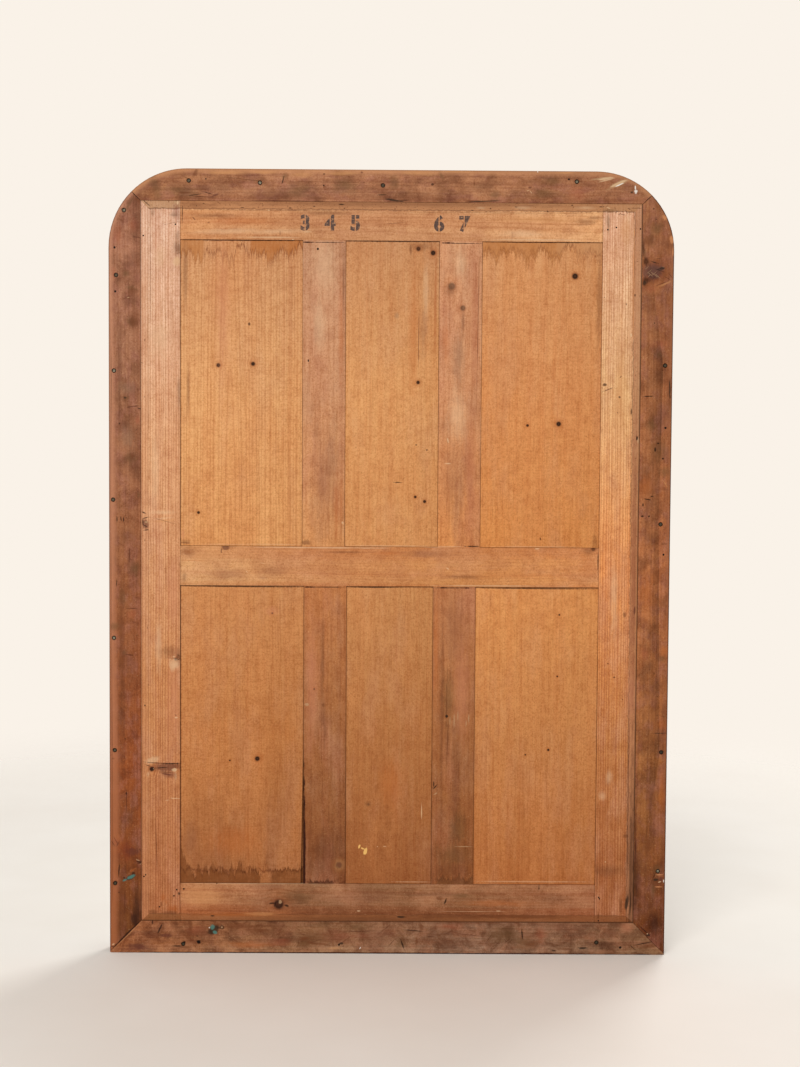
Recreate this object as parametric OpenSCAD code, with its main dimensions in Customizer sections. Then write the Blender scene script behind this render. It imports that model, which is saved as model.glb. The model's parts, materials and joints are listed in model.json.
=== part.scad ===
// Wall or mantel mirror: a carved oak moulding on a softwood carcase, with a frame-and-panel back.
// Millimetres. +Z is up, the oak front faces -Y and the back faces +Y.
// The origin is under the middle of the bottom edge, halfway through the depth.
// Left and right are named as seen from behind, so left is +X.

/* [Overall] */
// Width over the oak moulding
outer_w = 1000; // [700:1:1300]
// Height over the oak moulding
outer_h = 1398; // [1100:1:1800]
// Radius of the two rounded top corners
corner_r = 140; // [125:1:190]

/* [Oak moulding] */
// Width of the oak from its outer edge to the sight edge
moulding_w = 104; // [98:1:120]
// Depth of the oak from its back to the crest of the roll
moulding_t = 28; // [24:0.5:34]
// Width of the separate slip that borders the glass
slip_w = 27; // [26:0.5:30]
// Depth of the slip at its outer fillet
slip_t = 13; // [11:0.5:15]
// How far the oak stands out past the softwood at the sides and the top
oak_overhang = 1.5; // [0.5:0.1:3]
// Radius of the half-round roll that carries the leaf carving
roll_r = 14.5; // [12:0.5:15.5]
// How far the carved ribbon ties stand out from the roll
tie_t = 1.5; // [1:0.1:2]
// Width of each ribbon tie along the roll
tie_w = 14; // [8:1:20]
// Distance from the end of a length of moulding to its outer ties
tie_end = 30; // [20:1:60]
// Height of the flat ledge outside the roll
ledge_t = 10; // [6:0.5:12]
// Width of the flat ledge outside the roll
ledge_w = 6; // [4:0.5:8]
// Height of the fillet between the roll and the hollow
fillet_t = 15; // [13:0.5:18]
// Width of the fillet between the roll and the hollow
fillet_w = 5; // [3:0.5:6]
// Thickness left under the deepest point of the hollow
hollow_t = 5; // [4:0.5:8]
// Width of the flat at the foot of the hollow
hollow_flat_w = 6; // [4:0.5:9]
// Depth of the rebate that holds the glass
glass_rebate_t = 6; // [5.5:0.1:7]
// Width of the lip that overlaps the glass
glass_lip_w = 10; // [8:0.5:11]
// Thickness of the sight edge in front of the glass
sight_edge_t = 3; // [2:0.5:4]
// Half the width of the groove that holds the row of pearls
pearl_groove_r = 5.5; // [4.5:0.5:6]
// Radius of the string that the pearls are carved on
string_r = 2.5; // [1.5:0.5:3]
// Distance from the slip's outer edge to the middle of the pearls
pearl_in = 10; // [9:0.5:11]
// Height of the pearls' groove above the back of the oak
pearl_floor_t = 9; // [8:0.5:10]

/* [Softwood carcase] */
// Thickness of the carcase boards
carcase_t = 27; // [22:0.5:34]
// Width of carcase that shows round the backboard
border_w = 58; // [45:0.5:70]
// Width of the eased arris round the carcase's outer back edge
arris_w = 7; // [3:0.5:9]
// Depth of the eased arris
arris_t = 2; // [1:0.5:4]
// Thickness of the loose tongue in each mitre
tongue_key_t = 5; // [3:0.5:6]
// Length of the loose tongue along the mitre
tongue_key_l = 44; // [30:1:50]
// Width of the loose tongue across the mitre
tongue_key_w = 40; // [24:1:50]
// Distance from the inner end of the mitre to the loose tongue
tongue_key_in = 8; // [4:1:14]
// Clearance round the loose tongues
key_fit = 0.2; // [0.1:0.1:0.4]

/* [Backboard] */
// Thickness of the backboard's stiles, rails and muntins
back_t = 20; // [17:0.5:24]
// How far the backboard stands behind the carcase
back_proud = 6; // [3:0.5:9]
// Width of the chamfer round the backboard's rim
rim_chamfer_w = 14.5; // [8:0.5:20]
// Clearance between the backboard's rim and the carcase
rim_fit = 0.4; // [0.1:0.1:1]
// Width of the two stiles
stile_w = 70; // [60:1:90]
// Width of the top rail
top_rail_w = 68; // [56:1:90]
// Width of the middle rail
middle_rail_w = 70; // [56:1:90]
// Width of the bottom rail
bottom_rail_w = 70; // [56:1:90]
// How far the middle rail's centre line lies below the middle of the height
middle_rail_drop = 1; // [0:1:60]
// Width of the four muntins
muntin_w = 75; // [50:1:90]
// Upper left muntin's centre from the middle of the mirror
upper_left_muntin_x = 118; // [100:1:160]
// Upper right muntin's centre from the middle of the mirror
upper_right_muntin_x = 122; // [100:1:160]
// Lower left muntin's centre from the middle of the mirror
lower_left_muntin_x = 114; // [100:1:160]
// Lower right muntin's centre from the middle of the mirror
lower_right_muntin_x = 115; // [100:1:160]

/* [Joints in the backboard] */
// Width of the grooves, mortises and tenons
groove_w = 7; // [5:0.5:8]
// Depth of the panel grooves
groove_d = 9; // [6:0.5:12]
// Distance from the back face to the groove
groove_set = 6.5; // [5:0.5:8]
// Length of the rail tenons
rail_tenon_l = 45; // [25:1:50]
// Part of the outer rails' width that stays a short haunch
haunch_w = 18; // [10:1:24]
// Length of the muntin tenons
muntin_tenon_l = 25; // [15:1:30]
// Room left at the end of each tenon
tenon_end_gap = 0.5; // [0.2:0.1:0.9]

/* [Panels] */
// How far the panels lie below the frame's back face
panel_recess = 0.6; // [0.2:0.1:2]
// Gap round the back face of each panel
panel_gap = 0.5; // [0.2:0.1:1.5]
// Clearance between a panel's tongue and its groove, on each side
tongue_fit = 0.3; // [0.1:0.1:0.5]
// Room for movement at the bottom of the groove
tongue_play = 0.8; // [0.5:0.1:2]
// Width of the bevel on the panels' hidden side
bevel_w = 24; // [12:1:40]
// How far the hidden field rises above the bevel's thin edge
bevel_t = 3; // [1:0.5:5]
// Width at the foot of the tapered crack where the lower left panel has shrunk
crack_w = 4; // [1:0.5:5]
// Height of that crack
crack_h = 255; // [100:5:300]

/* [Glass and its packing] */
// Gap between the glass and its rebate at each side
plate_side_gap = 1; // [0.5:0.1:2]
// Gap between the glass and its rebate at the top and the bottom
plate_end_gap = 5; // [3:0.5:6]
// Thickness of the mirror plate
plate_t = 5; // [3:0.5:5.5]
// Clearance round the square top corners of the plate
plate_fit = 0.8; // [0.3:0.1:1]
// Length of each glass block
block_l = 60; // [30:5:90]
// Width of each glass block where it bears on the glass
block_w = 14; // [10:1:20]
// Gap between the glass blocks and the backboard
block_gap = 2; // [1:0.5:4]
// Distance of the outer glass blocks from the corners of the glass
block_end = 160; // [120:5:220]
// Length of the two blocks that the glass stands on
seat_block_l = 50; // [30:5:80]

/* [Fasteners] */
// Radius of the countersunk heads of the frame screws
screw_head_r = 4; // [3:0.1:5]
// Radius of the screw shanks
screw_r = 2; // [1.5:0.1:2.5]
// Length of the frame screws
screw_l = 38; // [30:1:40]
// How far the heads lie below the surface
screw_sink = 0.8; // [0.2:0.1:1.5]
// Clearance round the screws and nails
fastener_fit = 0.15; // [0.05:0.05:0.3]
// Radius of the wire brads
brad_r = 1.3; // [0.8:0.1:2]
// Length of the brads that pin the tenons
tenon_brad_l = 17; // [10:1:18]
// Length of the brads that hold the backboard
rim_brad_l = 22; // [18:1:24]
// How far the brads lie below the surface
brad_sink = 0.5; // [0.2:0.1:1]

/* [Hidden] */
$fn = 64;
// Length that a cutting shape runs past what it cuts
over = 5;

// Levels through the depth, from the oak's crest to the backboard's back face
depth = moulding_t + carcase_t + back_proud;
y_front = -depth / 2;
y_oak = y_front + moulding_t;
y_carcase = y_oak + carcase_t;
y_back = y_carcase + back_proud;
y_board = y_back - back_t;
y_glass = y_oak - glass_rebate_t;
groove_y1 = y_back - groove_set;
groove_y0 = groove_y1 - groove_w;

// Places in the oak moulding, measured in from its outer edge
slip_u = moulding_w - slip_w;
rebate_u = moulding_w - glass_lip_w;
roll_u = ledge_w + roll_r;
roll_h = moulding_t - tie_t - roll_r;
fillet_u = roll_u + roll_r + fillet_w;
hollow_u = slip_u - hollow_flat_w;
hollow_drop = fillet_t - hollow_t;
hollow_run = hollow_u - fillet_u;
hollow_r = (hollow_run * hollow_run + hollow_drop * hollow_drop) / (2 * hollow_drop);
arc_x = outer_w / 2 - corner_r;
arc_z = outer_h - corner_r;

// Outline of the backboard and of its openings
board_x = outer_w / 2 - border_w - rim_fit;
board_z0 = border_w + rim_fit;
board_z1 = outer_h - border_w - rim_fit;
stile_x = board_x - stile_w;
bottom_z = board_z0 + bottom_rail_w;
middle_rail_z = outer_h / 2 - middle_rail_drop;
middle_z0 = middle_rail_z - middle_rail_w / 2;
middle_z1 = middle_rail_z + middle_rail_w / 2;
top_z = board_z1 - top_rail_w;

// Outline of the glass and the opening it stands in
opening_w = outer_w - 2 * rebate_u;
opening_h = outer_h - 2 * rebate_u;
plate_w = opening_w - 2 * plate_side_gap;
plate_h = opening_h - 2 * plate_end_gap;
plate_z0 = rebate_u + plate_end_gap;

// Frame screws, driven by hand: share of the way along each board, and distance from its outer edge
left_screws = [[0.09, 11], [0.262, 11], [0.406, 10], [0.582, 9], [0.745, 11], [0.865, 15], [0.946, 29]];
right_screws = [[0.109, 15], [0.263, 12], [0.555, 19], [0.756, 15]];
top_screws = [[-0.325, 20], [0.016, 29], [0.232, 26], [0.357, 23]];
bottom_screws = [[-0.376, 22], [0.367, 16]];

// Brads in the tenon joints: distance in from the stile's inner edge, and from the backboard's end
top_left_brads = [[8, 42]];
top_right_brads = [[8, 46], [23, 42]];
bottom_left_brads = [[11, 47], [6, 58]];
bottom_right_brads = [[8, 45]];

// Brads that hold the backboard: share of the way along its edge, and distance from that edge
left_rim_brads = [[0.021, 33], [0.063, 5], [0.952, 5]];
right_rim_brads = [[0.966, 4]];
bottom_rim_brads = [[-0.429, 4]];

// Draws the children, given in X and Z, as a slab from y0 to y1
module slab(y0, y1) {
  translate([0, y1, 0]) rotate([90, 0, 0]) linear_extrude(y1 - y0) children();
}

// Rectangle from one corner to the other, in X and Z
module rect(x0, z0, x1, z1) {
  translate([x0, z0]) square([x1 - x0, z1 - z0]);
}

// Sweeps a profile along an edge; the turn takes it to the bottom, left, top or right edge
module run(length, turn) {
  rotate([0, turn, 0])
    translate([-length / 2, y_oak, 0])
      rotate([90, 0, 0]) rotate([90, 0, 90]) linear_extrude(length) children();
}

// Sweeps a profile round the top corner on the left, with its outer edge on the corner radius
module quarter_turn() {
  translate([arc_x, y_oak, arc_z])
    rotate([90, 0, 0]) rotate_extrude(angle = 90, $fn = 96)
      translate([corner_r, 0]) mirror([1, 0]) children();
}

// Quadrant between two mitre lines that meet under the middle of the bottom edge
module bottom_mitres() {
  reach = outer_w / 2 + over;
  slab(y_front - over, y_back + over)
    polygon([[-reach, -over], [reach, -over], [0, reach - over]]);
}

// Half of the frame on the left of both mitres
module left_mitres() {
  half = outer_w / 2;
  slab(y_front - over, y_back + over)
    polygon([
      [half, 0], [0, half], [0, outer_h - half], [half, outer_h],
      [half + over, outer_h + over], [half + over, -over]
    ]);
}

// Upper quadrant between the two top mitres
module top_mitres() {
  reach = outer_w / 2 + over;
  slab(y_front - over, y_back + over)
    polygon([[-reach, outer_h + over], [0, outer_h + over - reach], [reach, outer_h + over]]);
}

// Section of the oak moulding: ledge, roll, fillet and hollow
module oak_profile() {
  difference() {
    union() {
      square([slip_u, hollow_t]);
      square([roll_u, ledge_t]);
      intersection() {
        translate([roll_u, roll_h]) circle(roll_r);
        square([fillet_u, moulding_t]);
      }
      translate([roll_u, 0]) square([slip_u - roll_u, fillet_t]);
    }
    translate([hollow_u, hollow_t + hollow_r]) circle(hollow_r, $fn = 180);
    translate([hollow_u, hollow_t]) square([hollow_flat_w + over, fillet_t]);
  }
}

// Section of a ribbon tie bound round the roll
module tie_profile() {
  tie_r = roll_r + tie_t;
  intersection() {
    translate([roll_u, roll_h]) circle(tie_r);
    translate([roll_u - tie_r, hollow_t]) square([2 * tie_r, moulding_t]);
  }
}

// Section of the slip: fillet, groove with the pearls' string, bevelled sight edge and glass rebate
module slip_profile() {
  sight_h = glass_rebate_t + sight_edge_t;
  inner_h = slip_t - 1;
  pearl_u = slip_u + pearl_in;
  groove_end_u = pearl_u + pearl_groove_r;
  difference() {
    polygon([
      [slip_u, 0], [rebate_u, 0], [rebate_u, glass_rebate_t], [moulding_w, glass_rebate_t],
      [moulding_w, sight_h], [groove_end_u + (moulding_w - groove_end_u) / 3, inner_h],
      [groove_end_u, inner_h], [pearl_u, slip_t], [slip_u, slip_t]
    ]);
    translate([pearl_u - pearl_groove_r, pearl_floor_t]) square([2 * pearl_groove_r, slip_t]);
  }
  intersection() {
    translate([pearl_u, pearl_floor_t]) circle(string_r);
    translate([slip_u, glass_rebate_t]) square([slip_w, slip_t]);
  }
}

// Carcase outline with the rounded top corners
module carcase_outline() {
  half = outer_w / 2 - oak_overhang;
  rect(-half, 0, half, arc_z);
  rect(-arc_x, 0, arc_x, outer_h - oak_overhang);
  for (side = [-1, 1])
    translate([side * arc_x, arc_z]) circle(corner_r - oak_overhang, $fn = 180);
}

// Cutter for the eased arris along the sides, the top and both rounded corners
module arris_cut() {
  edge = [[-over, over], [arris_w, over], [arris_w, 0], [0, -arris_t], [-over, -arris_t]];
  for (side = [-1, 1])
    translate([side * (outer_w / 2 - oak_overhang), y_carcase, -over])
      linear_extrude(arc_z + over)
        polygon([for (p = edge) [-side * p[0], p[1]]]);
  translate([-arc_x, y_carcase, outer_h - oak_overhang])
    rotate([90, 0, 90]) linear_extrude(2 * arc_x)
      polygon([for (p = edge) [p[1], -p[0]]]);
  for (side = [-1, 1])
    translate([side * arc_x, y_carcase, arc_z])
      rotate([0, side < 0 ? -90 : 0, 0])
        rotate([90, 0, 0]) rotate_extrude(angle = 90, $fn = 180)
          polygon([for (p = edge) [corner_r - oak_overhang - p[0], -p[1]]]);
}

// Carcase ring with the rebate for the backboard, before it is cut into four boards
module carcase_ring() {
  half = outer_w / 2;
  difference() {
    slab(y_oak, y_carcase) carcase_outline();
    slab(y_oak - over, y_carcase + over)
      rect(-opening_w / 2, rebate_u, opening_w / 2, outer_h - rebate_u);
    slab(y_board, y_carcase + over)
      rect(border_w - half, border_w, half - border_w, outer_h - border_w);
    arris_cut();
    tongue_keys(key_fit);
    screw_holes();
    rim_brads(fastener_fit);
  }
}

// Loose tongues across the four mitres; grow is the clearance all round
module tongue_keys(grow) {
  lip_y = (y_oak + y_board) / 2;
  half = outer_w / 2;
  key_u = rebate_u - (tongue_key_in + tongue_key_l / 2) / sqrt(2);
  for (side = [-1, 1], top = [0, 1])
    translate([side * (half - key_u), lip_y, top ? outer_h - key_u : key_u])
      rotate([0, (top ? 45 : -45) * side, 0])
        cube([tongue_key_w + 2 * grow, tongue_key_t + 2 * grow, tongue_key_l + 2 * grow], center = true);
}

// Places each frame screw on the carcase's back face
module at_screws() {
  half = outer_w / 2;
  for (s = left_screws) translate([half - s[1], y_carcase, s[0] * outer_h]) children();
  for (s = right_screws) translate([s[1] - half, y_carcase, s[0] * outer_h]) children();
  for (s = top_screws) translate([s[0] * outer_w, y_carcase, outer_h - s[1]]) children();
  for (s = bottom_screws) translate([s[0] * outer_w, y_carcase, s[1]]) children();
}

// One countersunk screw, head at the origin and point towards -Y; grow is the clearance
module screw(grow) {
  rim_h = 0.6;
  cone_h = screw_head_r - screw_r;
  lead = grow > 0 ? over : -screw_sink;
  rotate([90, 0, 0]) {
    translate([0, 0, -lead]) cylinder(r = screw_head_r + grow, h = lead + screw_sink + rim_h, $fn = 32);
    translate([0, 0, screw_sink + rim_h])
      cylinder(r1 = screw_head_r + grow, r2 = screw_r + grow, h = cone_h, $fn = 32);
    translate([0, 0, screw_sink]) cylinder(r = screw_r + grow, h = screw_l + grow, $fn = 32);
  }
}

module screw_holes() {
  at_screws() screw(fastener_fit);
}

// One brad, head at the origin and point towards -Y; grow is the clearance
module brad(length, grow) {
  lead = grow > 0 ? over : 0;
  translate([0, lead - brad_sink, 0])
    rotate([90, 0, 0]) cylinder(r = brad_r + grow, h = length + grow + lead, $fn = 24);
}

// Brads that pin the rail tenons through the stiles; grow is the clearance
module tenon_brad_set(grow) {
  for (b = top_left_brads)
    translate([stile_x + b[0], y_back, board_z1 - b[1]]) brad(tenon_brad_l, grow);
  for (b = top_right_brads)
    translate([-stile_x - b[0], y_back, board_z1 - b[1]]) brad(tenon_brad_l, grow);
  for (b = bottom_left_brads)
    translate([stile_x + b[0], y_back, board_z0 + b[1]]) brad(tenon_brad_l, grow);
  for (b = bottom_right_brads)
    translate([-stile_x - b[0], y_back, board_z0 + b[1]]) brad(tenon_brad_l, grow);
}

// Level of the backboard's back at a distance in from its edge, down on the chamfer or up on the flat
function rim_y(inset) = y_carcase + min(1, inset / rim_chamfer_w) * back_proud;

// Brads through the backboard into the carcase; grow is the clearance
module rim_brads(grow) {
  board_h = board_z1 - board_z0;
  for (b = left_rim_brads)
    translate([board_x - b[1], rim_y(b[1]), board_z0 + b[0] * board_h]) brad(rim_brad_l, grow);
  for (b = right_rim_brads)
    translate([b[1] - board_x, rim_y(b[1]), board_z0 + b[0] * board_h]) brad(rim_brad_l, grow);
  for (b = bottom_rim_brads)
    translate([b[0] * 2 * board_x, rim_y(b[1]), board_z0 + b[1]]) brad(rim_brad_l, grow);
}

// Space inside the backboard's chamfered rim
module rim_envelope() {
  edge_y = y_carcase;
  inner_x = board_x - rim_chamfer_w;
  intersection() {
    translate([0, 0, board_z0 - over])
      linear_extrude(board_z1 - board_z0 + 2 * over)
        polygon([
          [-board_x, y_board], [board_x, y_board], [board_x, edge_y],
          [inner_x, y_back], [-inner_x, y_back], [-board_x, edge_y]
        ]);
    translate([-board_x - over, 0, 0])
      rotate([90, 0, 90]) linear_extrude(2 * board_x + 2 * over)
        polygon([
          [y_board, board_z0], [edge_y, board_z0], [y_back, board_z0 + rim_chamfer_w],
          [y_back, board_z1 - rim_chamfer_w], [edge_y, board_z1], [y_board, board_z1]
        ]);
  }
}

// Stile blank on the left with its groove and three mortises
module stile() {
  intersection() {
    difference() {
      slab(y_board, y_back) rect(stile_x, board_z0, board_x, board_z1);
      slab(groove_y0, groove_y1) {
        rect(stile_x - over, board_z0 - over, stile_x + groove_d, board_z1 + over);
        mortise_x = stile_x + rail_tenon_l + tenon_end_gap;
        rect(stile_x - over, top_z + groove_d, mortise_x, board_z1 - haunch_w);
        rect(stile_x - over, middle_z0 + groove_d, mortise_x, middle_z1 - groove_d);
        rect(stile_x - over, board_z0 + haunch_w, mortise_x, bottom_z - groove_d);
      }
    }
    rim_envelope();
  }
}

// Rail between the stiles, with haunched tenons; groove_low and groove_high cut the panel grooves
module rail(z0, z1, groove_low, groove_high) {
  low = z0 + (groove_low ? groove_d : haunch_w);
  high = z1 - (groove_high ? groove_d : haunch_w);
  difference() {
    union() {
      slab(y_board, y_back) rect(-stile_x, z0, stile_x, z1);
      slab(groove_y0, groove_y1) {
        rect(-stile_x - groove_d, z0, stile_x + groove_d, z1);
        rect(-stile_x - rail_tenon_l, low, stile_x + rail_tenon_l, high);
      }
    }
    slab(groove_y0, groove_y1) {
      if (groove_low) rect(-board_x, z0 - over, board_x, z0 + groove_d);
      if (groove_high) rect(-board_x, z1 - groove_d, board_x, z1 + over);
    }
  }
}

// Mortises for two muntins in a rail, from its edge z into the wood; up is 1 or -1
module muntin_mortises(left_x, right_x, z, up) {
  half = muntin_w / 2 - groove_d;
  deep = muntin_tenon_l + tenon_end_gap;
  slab(groove_y0, groove_y1)
    for (x = [left_x, -right_x])
      rect(x - half, up > 0 ? z - over : z - deep, x + half, up > 0 ? z + deep : z + over);
}

// Muntin between two rails, grooved on both edges and tenoned at both ends
module muntin(x, z0, z1) {
  half = muntin_w / 2;
  difference() {
    union() {
      slab(y_board, y_back) rect(x - half, z0, x + half, z1);
      slab(groove_y0, groove_y1)
        rect(x - half, z0 - muntin_tenon_l, x + half, z1 + muntin_tenon_l);
    }
    slab(groove_y0, groove_y1) {
      rect(x - half - over, z0 - 2 * muntin_tenon_l, x - half + groove_d, z1 + 2 * muntin_tenon_l);
      rect(x + half - groove_d, z0 - 2 * muntin_tenon_l, x + half + over, z1 + 2 * muntin_tenon_l);
    }
  }
}

// Panel that fills the opening from x0, z0 to x1, z1: flush back, tongue and bevelled hidden field
module panel(x0, z0, x1, z1) {
  face_y = y_back - panel_recess;
  tongue_y0 = groove_y0 + tongue_fit;
  tongue_y1 = groove_y1 - tongue_fit;
  reach = groove_d - tongue_play;
  field_y = tongue_y0 - bevel_t;
  slab(tongue_y1 - 1, face_y)
    rect(x0 + panel_gap, z0 + panel_gap, x1 - panel_gap, z1 - panel_gap);
  slab(tongue_y0, tongue_y1)
    rect(x0 - reach, z0 - reach, x1 + reach, z1 + reach);
  intersection() {
    translate([0, 0, z0])
      linear_extrude(z1 - z0)
        polygon([
          [x0, tongue_y0 + 1], [x0, tongue_y0], [x0 + bevel_w, field_y],
          [x1 - bevel_w, field_y], [x1, tongue_y0], [x1, tongue_y0 + 1]
        ]);
    translate([x0, 0, 0])
      rotate([90, 0, 90]) linear_extrude(x1 - x0)
        polygon([
          [tongue_y0 + 1, z0], [tongue_y0, z0], [field_y, z0 + bevel_w],
          [field_y, z1 - bevel_w], [tongue_y0, z1], [tongue_y0 + 1, z1]
        ]);
  }
}

// Backboard pieces
module left_stile() {
  color("burlywood") difference() {
    stile();
    tenon_brad_set(fastener_fit);
    rim_brads(fastener_fit);
  }
}

module right_stile() {
  color("burlywood") difference() {
    mirror([1, 0, 0]) stile();
    tenon_brad_set(fastener_fit);
    rim_brads(fastener_fit);
  }
}

module top_rail() {
  color("peru") difference() {
    intersection() {
      rail(top_z, board_z1, true, false);
      rim_envelope();
    }
    muntin_mortises(upper_left_muntin_x, upper_right_muntin_x, top_z, 1);
    tenon_brad_set(fastener_fit);
    rim_brads(fastener_fit);
  }
}

module middle_rail() {
  color("peru") difference() {
    rail(middle_z0, middle_z1, true, true);
    muntin_mortises(upper_left_muntin_x, upper_right_muntin_x, middle_z1, -1);
    muntin_mortises(lower_left_muntin_x, lower_right_muntin_x, middle_z0, 1);
  }
}

module bottom_rail() {
  color("peru") difference() {
    intersection() {
      rail(board_z0, bottom_z, false, true);
      rim_envelope();
    }
    muntin_mortises(lower_left_muntin_x, lower_right_muntin_x, bottom_z, -1);
    tenon_brad_set(fastener_fit);
    rim_brads(fastener_fit);
  }
}

module upper_left_muntin() {
  color("rosybrown") muntin(upper_left_muntin_x, middle_z1, top_z);
}

module upper_right_muntin() {
  color("rosybrown") muntin(-upper_right_muntin_x, middle_z1, top_z);
}

module lower_left_muntin() {
  color("sienna") muntin(lower_left_muntin_x, bottom_z, middle_z0);
}

module lower_right_muntin() {
  color("sienna") muntin(-lower_right_muntin_x, bottom_z, middle_z0);
}

module upper_left_panel() {
  color("goldenrod") panel(upper_left_muntin_x + muntin_w / 2, middle_z1, stile_x, top_z);
}

module upper_middle_panel() {
  color("goldenrod")
    panel(muntin_w / 2 - upper_right_muntin_x, middle_z1, upper_left_muntin_x - muntin_w / 2, top_z);
}

module upper_right_panel() {
  color("goldenrod") panel(-stile_x, middle_z1, -upper_right_muntin_x - muntin_w / 2, top_z);
}

// The lower left panel has shrunk away from its muntin and left a tapered crack
module lower_left_panel() {
  x0 = lower_left_muntin_x + muntin_w / 2;
  edge_x = x0 + panel_gap;
  color("darkgoldenrod") difference() {
    panel(x0, bottom_z, stile_x, middle_z0);
    slab(groove_y1 - tongue_fit, y_back + over)
      polygon([
        [edge_x - over, bottom_z - over], [edge_x + crack_w, bottom_z - over],
        [edge_x + crack_w, bottom_z], [edge_x, bottom_z + crack_h], [edge_x - over, bottom_z + crack_h]
      ]);
  }
}

module lower_middle_panel() {
  color("darkgoldenrod")
    panel(muntin_w / 2 - lower_right_muntin_x, bottom_z, lower_left_muntin_x - muntin_w / 2, middle_z0);
}

module lower_right_panel() {
  color("darkgoldenrod") panel(-stile_x, bottom_z, -lower_right_muntin_x - muntin_w / 2, middle_z0);
}

module tenon_brads() {
  color("dimgray") tenon_brad_set(0);
}

module backboard_brads() {
  color("dimgray") rim_brads(0);
}

// Carcase boards, mitred at the four corners
module carcase_top() {
  color("saddlebrown") intersection() {
    carcase_ring();
    top_mitres();
  }
}

module carcase_bottom() {
  color("saddlebrown") intersection() {
    carcase_ring();
    bottom_mitres();
  }
}

module carcase_left() {
  color("saddlebrown") intersection() {
    carcase_ring();
    left_mitres();
  }
}

module carcase_right() {
  color("saddlebrown") intersection() {
    carcase_ring();
    mirror([1, 0, 0]) left_mitres();
  }
}

module mitre_tongues() {
  color("tan") tongue_keys(0);
}

// Square pocket for the plate's corners, cut behind the rounded corner pieces
module plate_pocket() {
  half = plate_w / 2 + plate_fit;
  slab(y_glass, y_oak + over) rect(-half, plate_z0, half, plate_z0 + plate_h + plate_fit);
}

// Lengths of moulding on the straight edges, cut to the mitres and bored for the screws
module top_length() {
  translate([0, 0, outer_h]) run(2 * arc_x, 180) children();
}

module bottom_length() {
  intersection() {
    run(outer_w, 0) children();
    bottom_mitres();
  }
}

module left_length() {
  intersection() {
    translate([outer_w / 2, 0, arc_z / 2]) run(arc_z, -90) children();
    left_mitres();
  }
}

// Ribbon ties at the middle and near both ends of a length, from z0 to z1 along the edge
module ties(z0, z1) {
  for (z = [z0 + tie_end, (z0 + z1) / 2, z1 - tie_end])
    translate([z, 0, 0]) run(tie_w, 0) tie_profile();
}

module side_ties() {
  translate([outer_w / 2, 0, 0]) rotate([0, -90, 0]) ties(roll_u + tie_end, arc_z);
}

module oak_top() {
  color("chocolate") difference() {
    union() {
      top_length() oak_profile();
      translate([0, 0, outer_h]) rotate([0, 180, 0]) ties(-arc_x, arc_x);
    }
    screw_holes();
  }
}

module oak_bottom() {
  reach = outer_w / 2 - roll_u - tie_end;
  color("chocolate") difference() {
    union() {
      bottom_length() oak_profile();
      ties(-reach, reach);
    }
    screw_holes();
  }
}

module oak_side() {
  left_length() oak_profile();
  side_ties();
}

module oak_left() {
  color("chocolate") difference() {
    oak_side();
    screw_holes();
  }
}

module oak_right() {
  color("chocolate") difference() {
    mirror([1, 0, 0]) oak_side();
    screw_holes();
  }
}

module oak_left_corner() {
  color("chocolate") difference() {
    quarter_turn() oak_profile();
    screw_holes();
    plate_pocket();
  }
}

module oak_right_corner() {
  color("chocolate") difference() {
    mirror([1, 0, 0]) quarter_turn() oak_profile();
    screw_holes();
    plate_pocket();
  }
}

// Slip round the glass
module slip_top() {
  color("darkorange") top_length() slip_profile();
}

module slip_bottom() {
  color("darkorange") bottom_length() slip_profile();
}

module slip_left() {
  color("darkorange") left_length() slip_profile();
}

module slip_right() {
  color("darkorange") mirror([1, 0, 0]) left_length() slip_profile();
}

module slip_left_corner() {
  color("darkorange") difference() {
    quarter_turn() slip_profile();
    plate_pocket();
  }
}

module slip_right_corner() {
  color("darkorange") difference() {
    mirror([1, 0, 0]) quarter_turn() slip_profile();
    plate_pocket();
  }
}

module mirror_plate() {
  color("lightblue")
    slab(y_glass, y_glass + plate_t) rect(-plate_w / 2, plate_z0, plate_w / 2, plate_z0 + plate_h);
}

// One glass block on the bottom edge, glued to the carcase and bearing on the glass.
// edge_u is the distance from the frame's outer edge to the edge of the glass.
module glass_block(edge_u) {
  tip = 3;
  back_y = y_board - block_gap;
  glass_y = y_glass + plate_t;
  translate([-block_l / 2, 0, 0])
    rotate([90, 0, 90]) linear_extrude(block_l)
      polygon([
        [y_oak, rebate_u], [y_oak, edge_u], [glass_y, edge_u],
        [glass_y, rebate_u + block_w], [glass_y + tip, rebate_u + block_w],
        [back_y, rebate_u + tip], [back_y, rebate_u]
      ]);
}

module glass_blocks() {
  across = plate_w / 2 - block_end;
  upright = plate_h / 2 - block_end;
  color("wheat") {
    for (x = [-across, 0, across]) {
      translate([x, 0, 0]) glass_block(plate_z0);
      translate([x, 0, outer_h]) rotate([0, 180, 0]) glass_block(plate_z0);
    }
    for (side = [-1, 1], z = [-upright, 0, upright])
      translate([side * outer_w / 2, 0, outer_h / 2 + z])
        rotate([0, -90 * side, 0]) glass_block((outer_w - plate_w) / 2);
  }
}

// Small blocks under the plate that keep it off the oak
module seat_blocks() {
  color("wheat")
    for (side = [-1, 1])
      translate([side * (plate_w / 2 - block_end) / 2, 0, 0])
        slab(y_glass, y_glass + plate_t) rect(-seat_block_l / 2, rebate_u, seat_block_l / 2, plate_z0);
}

module frame_screws() {
  color("gray") at_screws() screw(0);
}

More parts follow.
